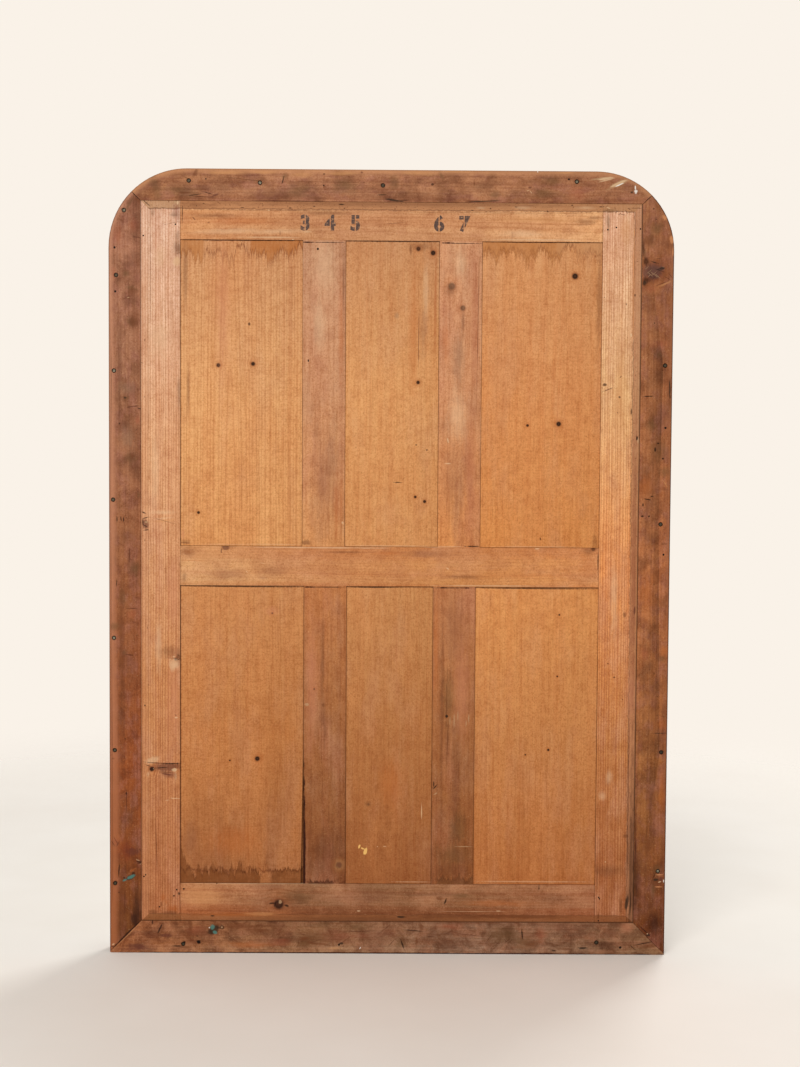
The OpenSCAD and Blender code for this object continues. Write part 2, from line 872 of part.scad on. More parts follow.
left_stile();
right_stile();
top_rail();
middle_rail();
bottom_rail();
upper_left_muntin();
upper_right_muntin();
lower_left_muntin();
lower_right_muntin();
upper_left_panel();
upper_middle_panel();
upper_right_panel();
lower_left_panel();
lower_middle_panel();
lower_right_panel();
tenon_brads();
backboard_brads();
carcase_top();
carcase_bottom();
carcase_left();
carcase_right();
mitre_tongues();
oak_top();
oak_bottom();
oak_left();
oak_right();
oak_left_corner();
oak_right_corner();
slip_top();
slip_bottom();
slip_left();
slip_right();
slip_left_corner();
slip_right_corner();
mirror_plate();
glass_blocks();
seat_blocks();
frame_screws();
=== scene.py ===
# %% [markdown]
# A carved oak mirror that stands with its face to the wall, so the photograph shows its back.
# The outer boards are the softwood carcase, and the raised backboard inside them is framed and
# panelled like a door. The carved oak moulding and the glass are on the other side. The packed
# model gives every piece its place, and these cells give the pieces their surfaces.

# %% Load the frame
import json
import math
import random

import bmesh
import bpy
from mathutils import Matrix, Vector

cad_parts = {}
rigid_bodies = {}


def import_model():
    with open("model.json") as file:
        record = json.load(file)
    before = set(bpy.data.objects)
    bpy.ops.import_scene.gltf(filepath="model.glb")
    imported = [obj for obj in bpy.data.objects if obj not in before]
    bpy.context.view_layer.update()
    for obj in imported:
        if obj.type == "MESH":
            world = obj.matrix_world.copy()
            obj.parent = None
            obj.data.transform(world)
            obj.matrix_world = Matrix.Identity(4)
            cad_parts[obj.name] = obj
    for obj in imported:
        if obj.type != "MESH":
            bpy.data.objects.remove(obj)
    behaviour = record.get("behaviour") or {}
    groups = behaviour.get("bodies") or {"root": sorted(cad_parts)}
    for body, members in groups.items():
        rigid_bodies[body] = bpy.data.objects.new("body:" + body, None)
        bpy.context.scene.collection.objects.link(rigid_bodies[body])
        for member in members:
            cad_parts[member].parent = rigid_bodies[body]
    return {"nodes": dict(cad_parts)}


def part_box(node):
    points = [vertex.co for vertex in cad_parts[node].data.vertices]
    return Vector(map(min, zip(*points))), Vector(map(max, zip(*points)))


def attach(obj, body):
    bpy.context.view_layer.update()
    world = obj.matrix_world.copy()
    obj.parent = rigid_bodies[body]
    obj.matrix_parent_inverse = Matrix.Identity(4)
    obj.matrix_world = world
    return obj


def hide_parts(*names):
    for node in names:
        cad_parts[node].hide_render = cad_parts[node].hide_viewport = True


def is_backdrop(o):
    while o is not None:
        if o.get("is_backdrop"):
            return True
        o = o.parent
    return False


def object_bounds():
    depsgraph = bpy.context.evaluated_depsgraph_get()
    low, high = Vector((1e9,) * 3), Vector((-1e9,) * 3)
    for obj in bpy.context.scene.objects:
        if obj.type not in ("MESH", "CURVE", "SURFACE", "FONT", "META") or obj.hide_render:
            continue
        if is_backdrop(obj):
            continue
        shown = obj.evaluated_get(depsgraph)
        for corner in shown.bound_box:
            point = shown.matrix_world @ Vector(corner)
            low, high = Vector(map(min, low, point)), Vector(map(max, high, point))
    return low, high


for leftover in list(bpy.data.objects):
    bpy.data.objects.remove(leftover)
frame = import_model()
cad_low, cad_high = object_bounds()
MM = 0.001
print("nodes", len(frame["nodes"]), "size in mm", [round(c / MM) for c in cad_high - cad_low])

# %% [markdown]
# The camera stands behind the mirror a little above its middle.
# A 50 mm lens at 2.7 m gives the slight narrowing towards the floor that the photograph has.
# Blender measures the lens against the long side of the picture, here its height.

# %% Place the camera
camera_data = bpy.data.cameras.new("camera")
camera_data.lens = 50.2
camera_data.sensor_width = 36
camera = bpy.data.objects.new("camera", camera_data)
camera.location = (-0.0022, 2.664, 0.876)
camera.rotation_euler = [math.radians(a) for a in (87.414, -0.369, 179.676)]
bpy.context.scene.collection.objects.link(camera)
bpy.context.scene.camera = camera
bpy.context.scene.view_settings.view_transform = "Standard"
print("camera", [round(c, 3) for c in camera.location])

# %% [markdown]
# Materials are written with a few helpers. One turns the sRGB colours that a painter would pick
# into the linear colours that the shader needs. One adds a node, sets its properties, fills or
# links its inputs, and hands back the output that the next node reads.

# %% Colour and node helpers
def linear(code):
    channels = [int(code[i:i + 2], 16) / 255 for i in (1, 3, 5)]
    return [c / 12.92 if c < 0.04045 else ((c + 0.055) / 1.055) ** 2.4 for c in channels] + [1]


def put(tree, kind, inputs, out=0, stops=None, **settings):
    """Adds a node. Its inputs are given by name in a dict, or by place in a list, and a colour
    among them by its hex code."""
    node = tree.nodes.new("ShaderNode" + kind)
    for key, value in settings.items():
        setattr(node, key, value)
    for key, value in inputs.items() if isinstance(inputs, dict) else enumerate(inputs):
        if isinstance(value, bpy.types.NodeSocket):
            tree.links.new(value, node.inputs[key])
        else:
            node.inputs[key].default_value = linear(value) if isinstance(value, str) else value
    if stops:
        ramp = node.color_ramp.elements
        while len(ramp) < len(stops):
            ramp.new(1)
        for element, (position, colour) in zip(ramp, stops):
            element.position = position
            element.color = linear(colour) if isinstance(colour, str) else (colour,) * 3 + (1,)
    return node.outputs[out] if node.outputs else node


def new_material(name):
    material = bpy.data.materials.new(name)
    material.use_nodes = True
    material.node_tree.nodes.clear()
    return material, material.node_tree


def shade(tree, inputs):
    """Ends a material with one shader."""
    put(tree, "OutputMaterial", [put(tree, "BsdfPrincipled", inputs)])


print("mid grey is", [round(c, 3) for c in linear("#808080")])

# %% [markdown]
# The room is a pale floor and a pale background. The floor fades out a few steps from the
# mirror, so there is no horizon, and it still takes the mirror's shadow. Only the camera and
# reflections see the background colour: the world lights the wood at a lower, plain level.

# %% Lay the floor and set the background
backdrop = "#FAF2E8"
floor_colour = "#F1EBE3"
sky_level = 0.5
floor_fade = (1.0, 2.6)

world = bpy.data.worlds.new("studio")
bpy.context.scene.world = world
world.use_nodes = True
sky = world.node_tree
sky.nodes.clear()
seen = put(sky, "LightPath", {}, "Is Camera Ray")
for other in ("Is Glossy Ray", "Is Transmission Ray"):
    seen = put(sky, "Math", [seen, put(sky, "LightPath", {}, other)], operation="MAXIMUM")
lit_sky = put(sky, "Background", {"Color": "#FFFDFA", "Strength": sky_level})
shown_sky = put(sky, "Background", {"Color": backdrop, "Strength": 1})
put(sky, "OutputWorld", [put(sky, "MixShader", [seen, lit_sky, shown_sky])])

studio, tree = new_material("painted_floor")
place = put(tree, "TexCoord", {}, "Object")
far = put(tree, "VectorMath", [place], "Value", operation="LENGTH")
far = put(tree, "MapRange", [far, floor_fade[0], floor_fade[1]], interpolation_type="SMOOTHSTEP")
soft = put(tree, "TexNoise", {"Vector": place, "Scale": 3, "Detail": 3})
tone = put(tree, "ValToRGB", [soft], stops=[(0.3, floor_colour), (0.7, "#F6F1EA")])
paint = put(tree, "BsdfPrincipled", {"Base Color": tone, "Roughness": 0.8})
clear = put(tree, "BsdfTransparent", {})
put(tree, "OutputMaterial", [put(tree, "MixShader", [far, paint, clear])])

bm = bmesh.new()
bmesh.ops.create_circle(bm, cap_ends=True, segments=64, radius=floor_fade[1])
floor_mesh = bpy.data.meshes.new("floor")
bm.to_mesh(floor_mesh)
bm.free()
floor = bpy.data.objects.new("floor", floor_mesh)
floor.data.materials.append(studio)
bpy.context.scene.collection.objects.link(floor)
floor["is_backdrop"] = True
print("floor radius", floor_fade[1])

# %% [markdown]
# The light comes from the upper left of the photograph, through something like a large window:
# the chamfers that face right and down are a little darker. One large lamp stands there,
# and a like one stands on the carved side, so that the front is lit as well as the back.

# %% Hang two soft lamps
def soft_lamp(name, place, aim, watts, size):
    data = bpy.data.lights.new(name, "AREA")
    data.energy = watts
    data.size = size
    data.color = (1.0, 0.985, 0.965)
    lamp = bpy.data.objects.new(name, data)
    lamp.location = place
    lamp.rotation_euler = (Vector(aim) - Vector(place)).to_track_quat("-Z", "Y").to_euler()
    bpy.context.scene.collection.objects.link(lamp)
    return lamp


middle = (0, 0, 0.75)
soft_lamp("window", (1.5, 4.0, 2.7), middle, 118, 2.2)
soft_lamp("front_window", (-2.4, -4.0, 3.5), middle, 140, 2.2)

# %% [markdown]
# Old softwood, here spruce or pine, is drawn from the log it was cut from. A pith line lies
# somewhere beside or below the board, and the distance from it, divided by the width of a
# year's growth, counts the rings. Far away the rings cut the face as straight lines; close
# below it they make the pointed arches of a flat-sawn board. For that, places are measured in
# mm, and turned so that Z runs along the grain of upright and level boards alike.

# %% Measure along the grain
def to_mm(tree):
    place = put(tree, "TexCoord", {}, "Object")
    return put(tree, "VectorMath", [place, (1 / MM,) * 3], operation="MULTIPLY")


def grain_lay(tree, place, grain):
    """Turns a place in mm into one along the grain: X across the board, Y its depth, Z its length."""
    x, y, z = [put(tree, "SeparateXYZ", [place], axis) for axis in "XYZ"]
    across, along = (x, z) if grain == "z" else (z, x)
    return put(tree, "CombineXYZ", [across, y, along]), across, y, along


def stretched_noise(tree, lay, per_mm, detail, rough=0.5):
    """Noise whose size differs across, through and along the grain; per_mm is its rate each way."""
    scaled = put(tree, "VectorMath", [lay, per_mm], operation="MULTIPLY")
    return put(tree, "TexNoise", {"Vector": scaled, "Scale": 1, "Detail": detail, "Roughness": rough})


def ellipse(tree, place, centre, radii, turn=0):
    """Distance from an ellipse's centre, 1 on its edge; turn is its angle about the depth axis."""
    around = put(tree, "Mapping", {"Vector": place, "Location": (centre[0], 0, centre[1]),
                                   "Rotation": (0, math.radians(turn), 0),
                                   "Scale": (radii[0], 10000, radii[1])}, vector_type="TEXTURE")
    return around, put(tree, "VectorMath", [around], "Value", operation="LENGTH")


def smallest(tree, so_far, value):
    """Keeps the smallest of a row of values as they come. The first is taken as it is."""
    return value if so_far is None else put(tree, "Math", [so_far, value], operation="MINIMUM")


print("noise and distances are in mm, one metre being", round(1 / MM))

# %% [markdown]
# Every colour is laid over the one below it by a Mix node. It takes its share at input 0 and
# the two colours at inputs 6 and 7, and output 2 is the mixed colour. The upper colour either
# covers the lower one, as paint does, or darkens it, as stain does.

# %% Two ways to lay a colour
paint_over = dict(out=2, data_type="RGBA")
stain_over = dict(out=2, data_type="RGBA", blend_type="MULTIPLY")
print("stain is laid on by", stain_over["blend_type"])

# %% [markdown]
# Marks of wear and dirt are ellipses of many kinds, and some kinds are painted light: glare and
# white marks are painted highlights, cream marks are pale scratches and painted highlights, and
# gap marks are painted shadow in gaps and joints. Soot marks along the joints and the foot and
# crack lines under the rails are partly painted shadow, and the pale lines on the ledges are dust
# and partly a painted highlight. Each kind has its colour, its strength and how soft its edge is,
# and broad tints are painted first, and bare wood and highlights last.

# %% Kinds of mark
MARKS = {
    "glare": ("#EBC8A0", 0.3, 1.0), "glow": ("#BC6428", 0.32, 0.95), "blush": ("#C98462", 0.4, 1.0),
    "rosy": ("#A3583C", 0.4, 0.95), "red": ("#7A3420", 0.5, 0.9), "mauve": ("#84523C", 0.35, 0.95),
    "olive": ("#66482A", 0.5, 0.9), "smoke": ("#562E1C", 0.4, 1.0), "grey": ("#86664F", 0.45, 0.9),
    "ash": ("#6A473C", 0.7, 0.6), "stain": ("#6B3C22", 0.45, 0.9), "rust": ("#A85420", 0.5, 0.8),
    "bruise": ("#6A3A30", 0.5, 0.9), "tan": ("#D09460", 0.45, 0.8), "pale": ("#DDB890", 0.5, 0.6),
    "soot_and_shadow": ("#35190C", 0.72, 0.95), "brown": ("#6B3A1E", 0.6, 0.7), "plum": ("#5E3024", 0.7, 0.5),
    "orange": ("#D08C5C", 0.85, 0.5), "dust_and_highlight": ("#DDB088", 0.45, 0.5), "line": ("#4A2010", 0.65, 0.5),
    "spot": ("#361808", 0.8, 0.6), "murk": ("#221C14", 0.8, 0.5), "crack": ("#200E06", 0.85, 0.5),
    "gap": ("#2C0A03", 0.95, 0.35), "hole": ("#140804", 1.0, 0.35), "teal": ("#4F7A70", 0.85, 0.4),
    "beige": ("#B8926C", 0.7, 0.5), "cream": ("#E3C096", 0.6, 0.45), "chip": ("#F0C070", 0.9, 0.3),
    "white": ("#EDE6DC", 0.9, 0.5),
}


def draw_marks(tree, colour, place, ragged, marks):
    """Paints the marks kind by kind, in the order of MARKS.
    marks gives each kind's ellipses as (x, z, half width, half height, turn). The place passes
    through the colour so far, unchanged, because Cycles runs out of room for its working values
    where a hundred marks could all be worked out at once."""
    for kind in [kind for kind in MARKS if kind in marks]:
        code, strength, soft = MARKS[kind]
        nearest = None
        for x, z, half_w, half_h, *turn in marks[kind]:
            reach = ellipse(tree, place, (x, z), (half_w, half_h), *turn)[1]
            nearest = smallest(tree, nearest, reach)
        nearest = put(tree, "Math", [nearest, ragged], operation="ADD")
        share = put(tree, "MapRange", [nearest, 1 - soft, 1 + soft * 0.5, strength, 0],
                    interpolation_type="SMOOTHSTEP")
        colour = put(tree, "Mix", {0: share, 6: colour, 7: code}, **paint_over)
        place = put(tree, "VectorMath", [colour, (0, 0, 0), place], operation="MULTIPLY_ADD")
    return colour


print("kinds of mark", len(MARKS))

# %% [markdown]
# Every softwood board is made from a short list of facts: which way its grain runs, where its
# pith lies, how wide its rings are, its colours from one end to the other, its knots and its
# marks. Most boards share some of them, so those are written once. Lengths are in mm, and a
# rate says how many waves of noise go into a mm.

# %% Facts that boards share
plain_board = dict(
    uneven=2.2,  # years by which the rings crowd together and spread
    late="#B07B52",  # the tone of the latewood lines
    patch_rate=(0.02, 0.02, 0.006),  # patches of old stain, across, through and along the grain
    fibre=0.8,  # fine streaks along the grain
    saw=0.15,  # saw marks across the grain
    cloud="#B88A6C", cloud_rate=0.035, clouding=0.3, swirl=0.3,  # large smoky clouds
    dirt=0.35,  # dark specks
    knot=1,  # how dark the knots are
    sheen=0.62,  # roughness where the wood is smoothest
    knots=[], extras=[], marks={})
print("shared facts", len(plain_board))

# %% [markdown]
# The rings come first. The distance from the pith line, bent by slow noise and pushed aside by
# every knot, is divided by the width of a ring. The whole part of the result is the year, and
# the rest is the season, from pale spring wood to the dark line of late summer. The distance
# to the nearest knot is kept, because the knots are painted later.

# %% Count the rings
season_tones = [(0.0, 0.25), (0.12, 0.0), (0.45, 0.08), (0.8, 0.75), (0.93, 1.0), (1.0, 0.3)]


def count_rings(tree, board, place, grown, middle):
    """The year and the season of each place, and how many knot sizes away the next knot is."""
    lay, across, depth, along = grown
    pith_x, pith_depth, pith_slope = board["pith"]
    drift = stretched_noise(tree, lay, (0.012, 0.01, 0.0022), 2)
    wander = put(tree, "MapRange", {0: drift, 3: -board["wave"], 4: board["wave"]})
    from_pith = put(tree, "Math", [across, -middle - pith_x], operation="ADD")
    from_pith = put(tree, "Math", [from_pith, wander], operation="ADD")
    to_knot = None
    for x, z, size in board["knots"]:
        around, reach = ellipse(tree, place, (x, z), (size, size))
        split = put(tree, "SeparateXYZ", [around], "X" if board["grain"] == "z" else "Z")
        push = put(tree, "MapRange", [reach, 0.3, 4.5, -0.85 * size, 0], interpolation_type="SMOOTHSTEP")
        from_pith = put(tree, "Math", [split, push, from_pith], operation="MULTIPLY_ADD")
        to_knot = smallest(tree, to_knot, reach)
    sink = put(tree, "Math", [along, pith_slope, pith_depth], operation="MULTIPLY_ADD")
    sink = put(tree, "Math", [sink, depth], operation="SUBTRACT")
    spoke = put(tree, "CombineXYZ", [from_pith, sink])
    radius = put(tree, "VectorMath", [spoke], "Value", operation="LENGTH")
    years = put(tree, "Math", [radius, board["ring"]], operation="DIVIDE")
    crowding = put(tree, "TexNoise", {"W": years, "Scale": 0.45, "Detail": 1}, noise_dimensions="1D")
    years = put(tree, "Math", [crowding, board["uneven"], years], operation="MULTIPLY_ADD")
    season = put(tree, "Math", [years], operation="FRACT")
    late = put(tree, "ValToRGB", [season], stops=season_tones)
    return years, late, to_knot


print("a ring is darkest at", max(season_tones, key=lambda stop: stop[1])[0], "of its width")

# %% [markdown]
# Colour is laid on like washes of stain. The first wash changes along the board. Darker bands
# follow groups of years, two kinds of patches show old stain, and the latewood lines darken
# the wood under them.

# %% Wash on the colours
def evenly(values):
    """The stops of a ramp, spread evenly from 0 to 1."""
    return [(i / (len(values) - 1), value) for i, value in enumerate(values)]


def wash_colours(tree, board, grown, ends, years, late):
    lay, across, depth, along = grown
    band = put(tree, "TexNoise", {"W": years, "Scale": 0.23, "Detail": 2}, noise_dimensions="1D")
    length = put(tree, "MapRange", [along, ends[0], ends[1]])
    # the tones run from one end of a board to the other; an upright's darker foot is partly painted shade
    colour = put(tree, "ValToRGB", [length], stops=evenly(board["tones"]))
    band_share = put(tree, "MapRange", [band, 0.38, 0.62, 0, board["banding"]],
                     interpolation_type="SMOOTHSTEP")
    colour = put(tree, "Mix", {0: band_share, 6: colour, 7: board["band"]}, **stain_over)
    for finer, (code, amount) in zip((1, 1.8), board["patina"]):
        rates = [finer * rate for rate in board["patch_rate"]]
        patch = stretched_noise(tree, lay, rates, 4, 0.6)
        patch = put(tree, "MapRange", [patch, 0.45, 0.68, 0, amount], interpolation_type="SMOOTHSTEP")
        colour = put(tree, "Mix", {0: patch, 6: colour, 7: code}, **paint_over)
    line_share = put(tree, "Math", [late, board["line"]], operation="MULTIPLY")
    return put(tree, "Mix", {0: line_share, 6: colour, 7: board["late"]}, **stain_over)


print("three tones lie along a board at", [at for at, tone in evenly("abc")])

# %% [markdown]
# The surface of an old sawn board is never even. Fine fibres run along the grain, the saw left
# marks across it, and grit and smoke have settled in it. Each is noise of its own size that
# darkens the wood, and the first three also make its relief. Dust adds dark specks, and the same
# noise adds pale specks that are painted glints of light.

# %% Roughen the surface
saw_rate = 0.42


def darken(tree, colour, noise, share, stops):
    tone = put(tree, "ValToRGB", [noise], stops=stops)
    return put(tree, "Mix", {0: share, 6: colour, 7: tone}, **stain_over)


def sawn_surface(tree, board, place, lay, colour):
    """The colour with its fine detail, and the three noises that also give relief."""
    fibre = stretched_noise(tree, lay, (0.3, 0.25, 0.016), 4, 0.72)
    colour = darken(tree, colour, fibre, board["fibre"],
                    [(0.3, "#E0D0BE"), (0.5, "#FBF8F5"), (0.7, "#FFFFFF")])
    saw = stretched_noise(tree, lay, (0.03, 0.03, saw_rate), 2, 0.6)
    colour = darken(tree, colour, saw, board["saw"], [(0.36, "#E5D8C8"), (0.54, "#FFFFFF")])
    grit = put(tree, "TexNoise", {"Vector": place, "Scale": 0.35, "Detail": 3, "Roughness": 0.7})
    colour = darken(tree, colour, grit, 0.85, [(0.32, "#E2D2C0"), (0.54, "#FFFFFF")])
    smoke = put(tree, "TexNoise", {"Vector": place, "Scale": board["cloud_rate"], "Detail": 6,
                                   "Roughness": 0.68, "Distortion": board["swirl"]})
    colour = darken(tree, colour, smoke, board["clouding"], [(0.36, board["cloud"]), (0.56, 1.0)])
    dust_and_highlight = put(tree, "TexNoise", {"Vector": place, "Scale": 0.4, "Detail": 2, "Roughness": 0.8})
    specks = put(tree, "MapRange", [dust_and_highlight, 0.6, 0.72, 0, board["dirt"]])
    colour = put(tree, "Mix", {0: specks, 6: colour, 7: "#5A2E16"}, **paint_over)
    # pale specks from the same noise: painted glints of light
    glints = put(tree, "MapRange", [dust_and_highlight, 0.38, 0.26, 0, 0.25])
    return put(tree, "Mix", {0: glints, 6: colour, 7: "#F2C794"}, **paint_over), fibre, saw, grit


print("saw marks come every", round(1 / saw_rate, 1), "mm or so")

# %% [markdown]
# A knot is the stump of a branch: a dark heart, a black ring of bark round it, and a reddish
# halo where resin has soaked into the wood. Grime gathers in the joints, and painted shade darkens
# them too: the shadow line under the rails and the dim corners between parts. It is more in some
# joints than in others, so each board says how much lies along its right, lower, left and upper edge.

# %% Paint the knots, the grime and the painted shade
knot_reach = 4  # knot sizes that the two ramps of a knot cover
grime_and_shade_reach = 2.8


def draw_knots(tree, board, colour, to_knot):
    reach = put(tree, "Math", [to_knot, knot_reach], operation="DIVIDE")
    share = put(tree, "ValToRGB", [reach], stops=[
        (0.0, 0.95), (0.19, 0.97), (0.26, 0.65), (0.38, 0.28), (0.85, 0.0)])
    tone = put(tree, "ValToRGB", [reach], stops=[
        (0.0, "#4A2814"), (0.08, "#241008"), (0.18, "#160804"),
        (0.24, "#421C0A"), (0.32, "#8A4218"), (0.5, "#B0602A")])
    share = put(tree, "Math", [share, board["knot"]], operation="MULTIPLY")
    return put(tree, "Mix", {0: share, 6: colour, 7: tone}, **paint_over)


def settle_grime_and_shade(tree, board, place, edges, colour, grit):
    low, high = edges
    from_low = put(tree, "VectorMath", [place, low], operation="SUBTRACT")
    from_high = put(tree, "VectorMath", [high, place], operation="SUBTRACT")
    jitter = put(tree, "MapRange", {0: grit, 3: -1.4, 4: 1.4})
    reaches = (from_low, from_low, from_high, from_high)
    for reach, axis, strength in zip(reaches, "XZXZ", board["grime"]):
        gap = put(tree, "SeparateXYZ", [reach], axis)
        gap = put(tree, "Math", [gap, jitter], operation="ADD")
        # grime in the joints and painted shade: the shadow under the rails, the dim corners between parts
        grime = put(tree, "MapRange", [gap, 0.8, grime_and_shade_reach, strength, 0])
        colour = put(tree, "Mix", {0: grime, 6: colour, 7: "#4A2412"}, **paint_over)
    return colour


print("grime reaches", grime_and_shade_reach, "mm out of a joint")

# %% [markdown]
# Now the steps are put together. The noises that darkened the wood also raise it by a few
# tenths of a millimetre, and dry old wood is dull, so its specular level is low.

# %% A softwood board's material
def softwood(name, facts, edges):
    board = {**plain_board, **facts}
    material, tree = new_material(name)
    place = to_mm(tree)
    grown = grain_lay(tree, place, board["grain"])
    lay = grown[0]
    low, high = edges
    axis = 2 if board["grain"] == "z" else 0
    side = 2 - axis
    years, late, to_knot = count_rings(tree, board, place, grown, (low[side] + high[side]) / 2)
    colour = wash_colours(tree, board, grown, (low[axis], high[axis]), years, late)
    colour, fibre, saw, grit = sawn_surface(tree, board, place, lay, colour)
    if to_knot is not None:
        colour = draw_knots(tree, board, colour, to_knot)
    colour = settle_grime_and_shade(tree, board, place, edges, colour, grit)
    ragged = stretched_noise(tree, lay, (0.22, 0.1, 0.05), 3, 0.6)
    ragged = put(tree, "MapRange", {0: ragged, 3: -0.75, 4: 0.75})
    for paint in board["extras"]:
        colour = paint(tree, colour, place)
    colour = draw_marks(tree, colour, place, ragged, board["marks"])
    relief = put(tree, "Math", [late, 0.6, fibre], operation="MULTIPLY_ADD")
    for noise, height in ((saw, 0.8), (grit, 0.5)):
        relief = put(tree, "Math", [noise, height, relief], operation="MULTIPLY_ADD")
    bump = put(tree, "Bump", {"Height": relief, "Strength": 0.5, "Distance": 0.0004})
    rough = put(tree, "MapRange", {0: grit, 3: board["sheen"], 4: 0.85})
    shade(tree, {"Base Color": colour, "Roughness": rough, "Normal": bump, "Specular IOR Level": 0.12})
    return material


print("softwood ready")

# %% [markdown]
# Water once stood against the lower left panel and ran down behind the top rail. It left stains
# that end in a row of jagged points, because water climbs and runs along the grain, and a stain
# is darkest at its rim, where the water dried last. Slow and fast noise across the board,
# multiplied, give the points.

# %% Tide marks
def tide(code, strength, level, reach, up, x_range, lean=0.0, rate=0.16):
    """A stain that fills from a level, up or down, to jagged points reach mm beyond it."""
    def paint(tree, colour, place):
        x, z = [put(tree, "SeparateXYZ", [place], axis) for axis in "XZ"]
        spread = put(tree, "CombineXYZ", [x])
        coarse = put(tree, "TexNoise", {"Vector": spread, "Scale": rate / 4, "Detail": 2})
        fine = put(tree, "TexNoise", {"Vector": spread, "Scale": rate * 1.3, "Detail": 5, "Roughness": 0.8})
        points = put(tree, "Math", [coarse, fine], operation="MULTIPLY")
        edge = put(tree, "MapRange", [points, 0.14, 0.38, 0, reach])
        if lean:
            slope = put(tree, "MapRange", [x, x_range[1] - 16, x_range[1], 0, lean],
                        interpolation_type="SMOOTHSTEP")
            edge = put(tree, "Math", [edge, slope], operation="ADD")
        height = put(tree, "Math", [z, level], operation="SUBTRACT")
        if not up:
            height = put(tree, "Math", [height, -1], operation="MULTIPLY")
        over = put(tree, "Math", [edge, height], operation="SUBTRACT")
        share = put(tree, "MapRange", [over, -1.2, 1.2, 0, strength])
        uneven = put(tree, "TexNoise", {"Vector": place, "Scale": 0.06, "Detail": 5, "Roughness": 0.65})
        uneven = put(tree, "MapRange", [uneven, 0.35, 0.6, 0.75, 1.05])
        share = put(tree, "Math", [share, uneven], operation="MULTIPLY")
        rim_share = put(tree, "MapRange", [over, 0.6, 4.5, 0.95, 0])
        rim_share = put(tree, "Math", [rim_share, share], operation="MULTIPLY")
        for sign, bound in ((1, x_range[0]), (-1, x_range[1])):
            inside = put(tree, "Math", [x, bound], operation="SUBTRACT")
            inside = put(tree, "Math", [inside, sign], operation="MULTIPLY")
            inside = put(tree, "MapRange", [inside, -2, 2])
            share = put(tree, "Math", [share, inside], operation="MULTIPLY")
        colour = put(tree, "Mix", {0: share, 6: colour, 7: code}, **paint_over)
        return put(tree, "Mix", {0: rim_share, 6: colour, 7: "#8A5430"}, **stain_over)
    return paint


print("tides ready")

# %% [markdown]
# Hands and floors have worn the outer arris of the carcase to paler wood, in a strip that is
# widest at the foot of the left board. The strip is also a painted highlight on the rounded edge,
# wider on the left, where the light falls, and the very edge is painted dark as shade. It follows
# the rounded corners, so it is measured from the straight sides and from the centres of the
# corners at once.

# %% Worn arrises, with painted highlight and shade
corner_r = 140


def arris_wear_and_painted_light(codes, strength, widths, edge):
    """Paler wood along the rounded outer edge of the carcase, worn and partly a painted highlight;
    codes and widths go from foot to head. The arris itself is painted dark as shade where it turns
    away from the light, as strongly as edge says."""
    full = cad_high.z / MM
    centre = (cad_high.x / MM - corner_r, 0, full - corner_r)

    def paint(tree, colour, place):
        folded = put(tree, "VectorMath", [place], operation="ABSOLUTE")
        out = put(tree, "VectorMath", [folded, centre], operation="SUBTRACT")
        out = put(tree, "VectorMath", [out, (0, 0, 0)], operation="MAXIMUM")
        flat = put(tree, "VectorMath", [out, (1, 0, 1)], operation="MULTIPLY")
        reach = put(tree, "VectorMath", [flat], "Value", operation="LENGTH")
        high_up = put(tree, "SeparateXYZ", [place], "Z")
        height = put(tree, "Math", [high_up, full], operation="DIVIDE")
        wide = put(tree, "ValToRGB", [height], stops=evenly([width / 100 for width in widths]))
        pale = put(tree, "ValToRGB", [height], stops=[(0.1, codes[0]), (0.9, codes[1])])
        wear = put(tree, "TexNoise", {"Vector": place, "Scale": 0.03, "Detail": 5, "Roughness": 0.6})
        wear = put(tree, "MapRange", [wear, 0.25, 0.75, 2, -2])
        inset = put(tree, "Math", [wide, -100, corner_r], operation="MULTIPLY_ADD")
        share = put(tree, "Math", [reach, inset], operation="SUBTRACT")
        share = put(tree, "Math", [share, wear], operation="ADD")
        share = put(tree, "MapRange", [share, -6.5, 6.5, 0, strength], interpolation_type="SMOOTHSTEP")
        # the pale strip: worn wood, and partly a painted highlight on the rounded edge
        colour = put(tree, "Mix", {0: share, 6: colour, 7: pale}, **paint_over)
        # the outermost edge painted dark as shade, where it turns away from the light
        edge_shade = put(tree, "MapRange", [reach, corner_r - 4.4, corner_r - 2.4, 0, edge])
        return put(tree, "Mix", {0: edge_shade, 6: colour, 7: "#3C2012"}, **paint_over)
    return paint


print("outer corners have a radius of", corner_r, "mm")

# %% [markdown]
# The backboard's rim is chamfered down to the carcase. Dust has stuck to the slope, and the lower
# chamfer is painted darker, partly as shade, for it faces away from the light. The joint with the
# carcase is painted dark as shade, most along the right and lower sides. The chamfer's upper line
# wavers, because it was planed by hand. Each side is told from the others by which edge of the
# backboard is nearest.

# %% The chamfered rim, its dust and its painted shade
chamfer_w = 14.5


